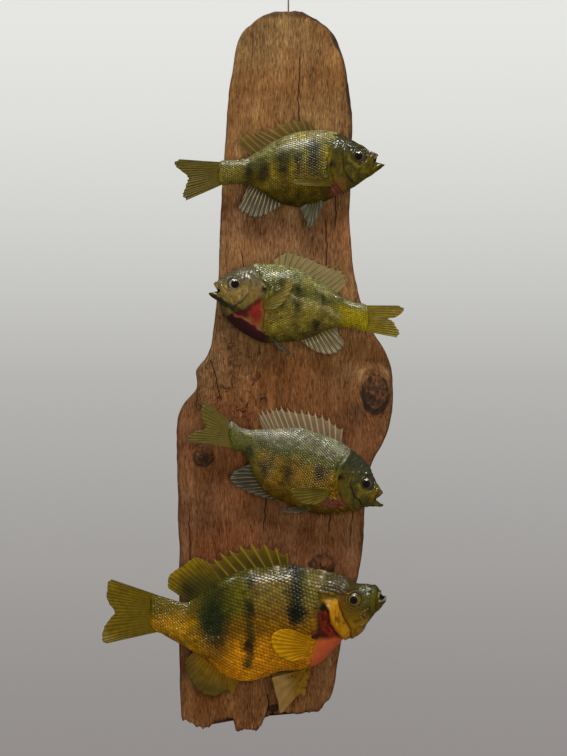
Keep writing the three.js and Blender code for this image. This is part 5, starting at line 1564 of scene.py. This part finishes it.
def small_flank(small, u, v, share):
    """The body's colours, by the share of the way from back to belly, with painted highlight on the pale
    back, and then its marks, among them a painted highlight streak.
    """
    gold, back = np.array(small.gold), np.array(small.back)
    painted_glints = rise(0.2, 0.7, lumps(u, v, 2.0, 1.4, 91)) * rise(0.36, 0.2, share)
    dull = rise(-0.1, 0.8, lumps(u, v, 7, 16, 74)) * rise(0.8, 0.6, share)
    colour = mix(SMALL_OLIVE, gold, rise(*small.turn, share))
    colour = mix(colour, gold * 0.55, rise(0.75, 0.95, share))
    # The pale back colour is partly the back's own and partly painted highlight from the varnish.
    colour = mix(colour, back, 0.75 * rise(0.30, 0.10, share + 0.04 * lumps(u, v, 9, 4, 73)))
    # Painted glints: brighter spots on the upper back.
    colour = mix(colour, back * 1.8, 0.3 * painted_glints)
    colour = mix(colour, SMALL_OLIVE, 0.5 * dull)
    patchy = 1 + 0.35 * lumps(u, v, 6, 5, 78) + 0.25 * lumps(u, v, 2.6, 2.2, 79)
    colour = colour * patchy[..., None]
    bright = rise(0.15, 0.65, lumps(u, v, 5, 8, 80)) * rise(0.28, 0.42, share)
    colour = mix(colour, gold * 1.9, small.patches * bright)
    for at_u, at_v, wide, high in small.lit:
        spot = blob(u, v, (at_u, at_v), (wide, high)) * (0.75 + 0.35 * lumps(u, v, 3, 3, 92))
        colour = mix(colour, SUNLIT, 0.6 * spot)
    stem = rise(0.74, 0.86, u / small.ribs[-1][0]) * rise(0.1, 0.4, share)
    colour = mix(colour, small.stem, stem)
    for at_u, at_v, wide, high in small.bars:
        spot = np.clip(1.15 * blob(u, v, (at_u, at_v), (wide * 1.1, high)), 0, 1)
        colour = mix(colour, BLACK, (0.82 + 0.12 * lumps(u, v, 3, 3, 77)) * spot)
    # Painted highlight: a silver streak of glints along the side, where the scales catch the light.
    if small.painted_streak:
        far = beside(u, v, small.painted_streak) / (3.5 + 2 * lumps(u, v, 8, 8, 84))
        painted_sparkle = 0.35 + 0.65 * rise(-0.2, 0.5, lumps(u, v, 2.2, 1.8, 85))
        colour = mix(colour, STREAK_HIGHLIGHT * 1.7, 0.75 * painted_sparkle * band(far, 0, 1))
    past = beside(u, v, small.gill)
    flush = blob(u, v, *small.red)
    colour = mix(colour, small.breast, 0.9 * np.clip(1.4 * flush, 0, 1) * rise(-2, 1, past))
    if small.throat:
        below = beside(u, v, small.throat)
        bare = rise(9, 5, past) * rise(46, 42, u) * rise(-6, -10, v)
        colour = mix(colour, THROAT_RED, bare)
        colour = mix(colour, THROAT_DARK, rise(1.0, -1.5, below) * rise(54, 46, u))
        ridge = band(below, 0, 0.8) * rise(17, 23, u) * rise(50, 44, u)
        colour = mix(colour, THROAT_RIDGE, 0.8 * ridge)
        colour = mix(colour, small.breast, 0.95 * np.clip(1.6 * flush, 0, 1))
    return colour


def small_head(small, u, v, share):
    """The head's colours: cheek and crown, gold between them, dark speckles, painted shade along the
    crease, the ear flap, jaws, chin, the rings and the crescent round the eye, the mouth's gold rim and
    painted shade inside it."""
    gold, cheek, crown = np.array(small.gold), np.array(small.cheek), np.array(small.crown)
    crease = beside(u, v, small.crease)
    eye, radius, _bulge = small.eye
    reach = np.hypot(u - eye[0], v - eye[1]) / radius
    inside = oval(u, v, *small.opening[2:])
    skin = mix(cheek, crown, rise(0.38, 0.18, share))
    marks = [
        (HEAD_GOLD * 0.8, 0.5 * rise(0.5, 0.75, share)),
        (HEAD_GOLD, 0.6 * rise(0.1, 0.6, lumps(u, v, 3.2, 3.8, 51)) * rise(0.25, 0.4, share)),
        (HEAD_GOLD * 0.7, 0.6 * rise(-0.3, 1, crease) * rise(0.3, 0.45, share)),
        (crown * 0.8, 0.6 * rise(-0.2, 0.6, lumps(u, v, 3, 5, 75))),
        (BLACK * 3, 0.55 * rise(0.25, 0.8, lumps(u, v, 1.4, 1.6, 76))),
        # Painted shade along the groove of the crease.
        (BLACK * 2, 0.7 * band(crease, 0.4, 0.6)),
        (small.breast, 0.6 * blob(u, v, *small.red)),
        (BLACK, 0.97 * np.clip(1.5 * blob(u, v, small.ear, (3.0, 3.2)), 0, 1)),
    ]
    for line, half, _high in small.jaws[:2]:
        marks.append((gold * 0.9, 0.6 * rise(0.4, -0.4, near_line(u, v, line, half))))
    if small.chin:
        marks.append((BLACK * 3, 0.85 * rise(1.5, -0.5, near_line(u, v, small.chin, 2.6))))
    marks += [
        (BLACK * 2, 0.7 * band(reach, 0.85, 0.06)),
        (gold * 0.7, 0.5 * band(reach, 0.97, 0.07)),
        (HEAD_GOLD * 1.7, 0.55 * band(reach, 1.30, 0.14) * rise(eye[1] + 1, eye[1] - 3, v)),
        (gold * 1.1, 0.5 * band(inside, 1.35, 0.2)),
        # Painted shade inside the open mouth.
        (BLACK * 1.2, rise(1.12, 0.95, inside)),
    ]
    for tint, amount in marks:
        skin = mix(skin, tint, amount)
    return skin


def small_markings(small):
    """The markings of one fish as a function of the side view, as its skin and scales need."""

    def markings(u, v, share):
        u, v = u + 1.5 * lumps(u, v, 5, 5, 71), v + 1.5 * lumps(u, v, 5, 5, 72)
        head = rise(0.4, -0.6, beside(u, v, small.gill)) * rise(60, 50, u)
        return mix(small_flank(small, u, v, share), small_head(small, u, v, share), head)

    return markings


# %% Small fish
SMALL_COAT = 0.3
PALE_RAY = (0.20, 0.18, 0.12)


def small_fins(small, fish):
    """The five fins, each with its settings and its colours."""

    def pelvic_stand(u, v, out):
        return fish.leaning(u) + 3 + 3 * out

    def pectoral_stand(u, v, out):
        return fish.leaning(u) + fish.flank(u, v) + 0.2 + 3 * out

    foot, rim, spines, dip = small.spiny
    tail = np.outer([1, 0.85, 0.42], small.tail_colour)
    return [
        fin_piece(f"{small.name}_spiny", fish, foot, rim, spines, ray_colours(**small.spiny_tint),
                  steps=24, spines=True, dip=dip, sharp=0.4, fray=0.12, lean=0.08),
        fin_piece(f"{small.name}_anal", fish, *small.anal, 12,
                  ray_colours(*small.anal_tint, deep=0.97, fade=9), steps=24, columns=10, fray=0.06),
        fin_piece(f"{small.name}_tail", fish, *small.tail, 17, ray_colours(*tail, deep=0.7),
                  steps=24, columns=9, fray=0.05, ridge=0.08),
        fin_piece(f"{small.name}_pelvic", fish, *small.pelvic, 6,
                  ray_colours((0.085, 0.074, 0.036), (0.14, 0.125, 0.08), (0.035, 0.033, 0.018),
                              deep=0.9, fade=4, ray=PALE_RAY),
                  steps=24, columns=9, fray=0.10, stand=pelvic_stand),
        fin_piece(f"{small.name}_pectoral", fish, *small.pectoral, 9,
                  ray_colours((0.15, 0.11, 0.010), (0.17, 0.13, 0.02), (0.08, 0.06, 0.010)),
                  steps=24, columns=9, fray=0.03, stand=pectoral_stand),
    ]


def small_fish(small):
    name, node = small.name, f"{small.name}_fish"
    eye, radius, _bulge = small.eye
    folds = head_folds(eye, radius, small.gill, small.crease, small.jaws, 0.75)
    fish = Fish(small.ribs, small.lean, small.snout, small.faces, small.seat, folds,
                small.opening, SMALL_COAT)
    markings = small_markings(small)

    def scaled(u, v):
        """Behind the gill cover, but not on a bare throat."""
        behind = beside(u, v, small.gill) > 3.3
        return behind & ~((u < 46) & (v < -7)) if small.throat else behind & (u >= 0)

    pieces = [skin_piece(f"{name}_skin", fish, markings, [node], rings=260, around=150)]
    for side, word in ((1, "front"), (-1, "wall")):
        pieces.append(scale_piece(
            f"{name}_scales_{word}", fish, markings, pitch=4.2, row=2.4, side=side, keep=scaled,
            seed=30 + side, edge=1.0, first=0.2, taper=0.8,
        ))
    pieces += small_fins(small, fish)
    for side, word in ((1, "near"), (-1, "far")):
        pieces.append(eye_piece(f"{name}_eye_{word}", fish, *small.eye, side, *small.glass))
    for piece in pieces[1:]:
        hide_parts(node)
    print(node, sum(len(piece.data.polygons) for piece in pieces), "triangles in", len(pieces), "pieces")


for small in (TOP_FISH, SECOND_FISH, THIRD_FISH):
    small_fish(small)

# %% [markdown]
# ## Room and light
# A pale round backdrop stands well away on every side, with the floor below. It glows by itself, painted
# brighter towards the top as light falls, and only the viewer sees it, so that it puts no haze on the
# varnish. A soft light hangs above and in front of the board, near its top, so that it falls off towards
# the foot. Two weak ones, left out of reflections, fill from the front and from behind. Four small ones
# light nothing by themselves and are seen only as glinting points in the varnish.

# %% Backdrop
FLOOR, WALL, CURVE, ROOM_AROUND = -1750, 4300, 600, 96  # level, radius, radius, points around


def backdrop():
    """A dish: a flat floor, a quarter circle and a wall, turned round the upright axis."""
    turn = np.linspace(0, np.pi / 2, 13)
    radius = np.concatenate([[1, 1000, 2500], WALL - CURVE + CURVE * np.sin(turn), [WALL] * 3])
    level = np.concatenate([[FLOOR] * 3, FLOOR + CURVE - CURVE * np.cos(turn), [0, 1500, 3600]])
    angle = np.linspace(0, 2 * np.pi, ROOM_AROUND, endpoint=False)
    (radius, angle), (level, _) = (np.meshgrid(part, angle, indexing="ij") for part in (radius, level))
    rings = np.stack([radius * np.cos(angle), radius * np.sin(angle), level], -1)
    count = len(rings)
    faces = ring_faces(count, ROOM_AROUND)[: (count - 1) * ROOM_AROUND * 2, ::-1]
    made = new_object("backdrop", rings.reshape(-1, 3), faces, body=None)
    return made


room = backdrop()
backdrop_glow = Finish("glowing_backdrop", Roughness=0.9, Specular_IOR_Level=0.0)
BACKDROP_GLOW_TONES = [(0.0, (0.275, 0.255, 0.25)), (0.5, (0.45, 0.445, 0.43)), (1.0, (0.79, 0.79, 0.76))]
# The backdrop glows by itself, painted dark at the floor and bright towards the top, as the light falls.
glow = backdrop_glow.ramp(backdrop_glow.parts(backdrop_glow.place())[2].between(-1.3, 1.25), BACKDROP_GLOW_TONES)
backdrop_glow.set(Base_Color=(0.05, 0.05, 0.05, 1), Emission_Color=glow, Emission_Strength=1.0)
for ray in ("diffuse", "glossy", "shadow"):
    setattr(room, f"visible_{ray}", False)
room.data.materials.append(backdrop_glow.material)
print("backdrop", len(room.data.polygons), "faces")

# %% Lights
def soft_light(name, place, aim, size, power, colour=(1, 1, 1)):
    """A flat lamp, size wide and high, turned towards what it lights. Lengths are in metres."""
    data = bpy.data.lights.new(name, "AREA")
    data.shape, data.energy, data.color = "RECTANGLE", power, colour
    data.size, data.size_y = size
    lamp = bpy.data.objects.new(name, data)
    lamp.location = place
    ahead = np.array(aim, float) - np.array(place, float)
    across = np.hypot(ahead[0], ahead[1])
    lamp.rotation_euler = (np.arctan2(across, -ahead[2]), 0, np.arctan2(-ahead[0], ahead[1]))
    bpy.context.scene.collection.objects.link(lamp)
    return lamp


soft_light("key", (-0.04, -0.74, 1.18), (0, 0, 0.0), (0.5, 0.3), 17, (1.0, 0.98, 0.94))
fill = soft_light("fill", (0.2, -1.7, -0.05), (0, 0, 0), (0.9, 0.9), 19, (1.0, 0.98, 0.93))
back = soft_light("back", (0.4, 1.9, 0.9), (0, 0, 0), (0.8, 0.8), 14)
for lamp in (fill, back):
    lamp.visible_glossy = False
for x, y, z in ((-0.55, -0.30, 1.10), (-0.2, -0.12, 1.30), (0.2, -0.20, 1.25), (0.6, -0.40, 1.05)):
    glint = soft_light("glint", (x, y, z), (0, 0, -0.1), (0.07, 0.07), 2.5)
    glint.visible_diffuse = False
world = bpy.data.worlds.new("pale_world")
world.use_nodes = True
sky = world.node_tree.nodes["Background"].inputs
sky["Color"].default_value, sky["Strength"].default_value = (0.95, 0.93, 0.90, 1), 0.11
bpy.context.scene.world = world
bpy.context.scene.view_settings.view_transform = "Standard"
print("lights", [light.name for light in bpy.data.lights])
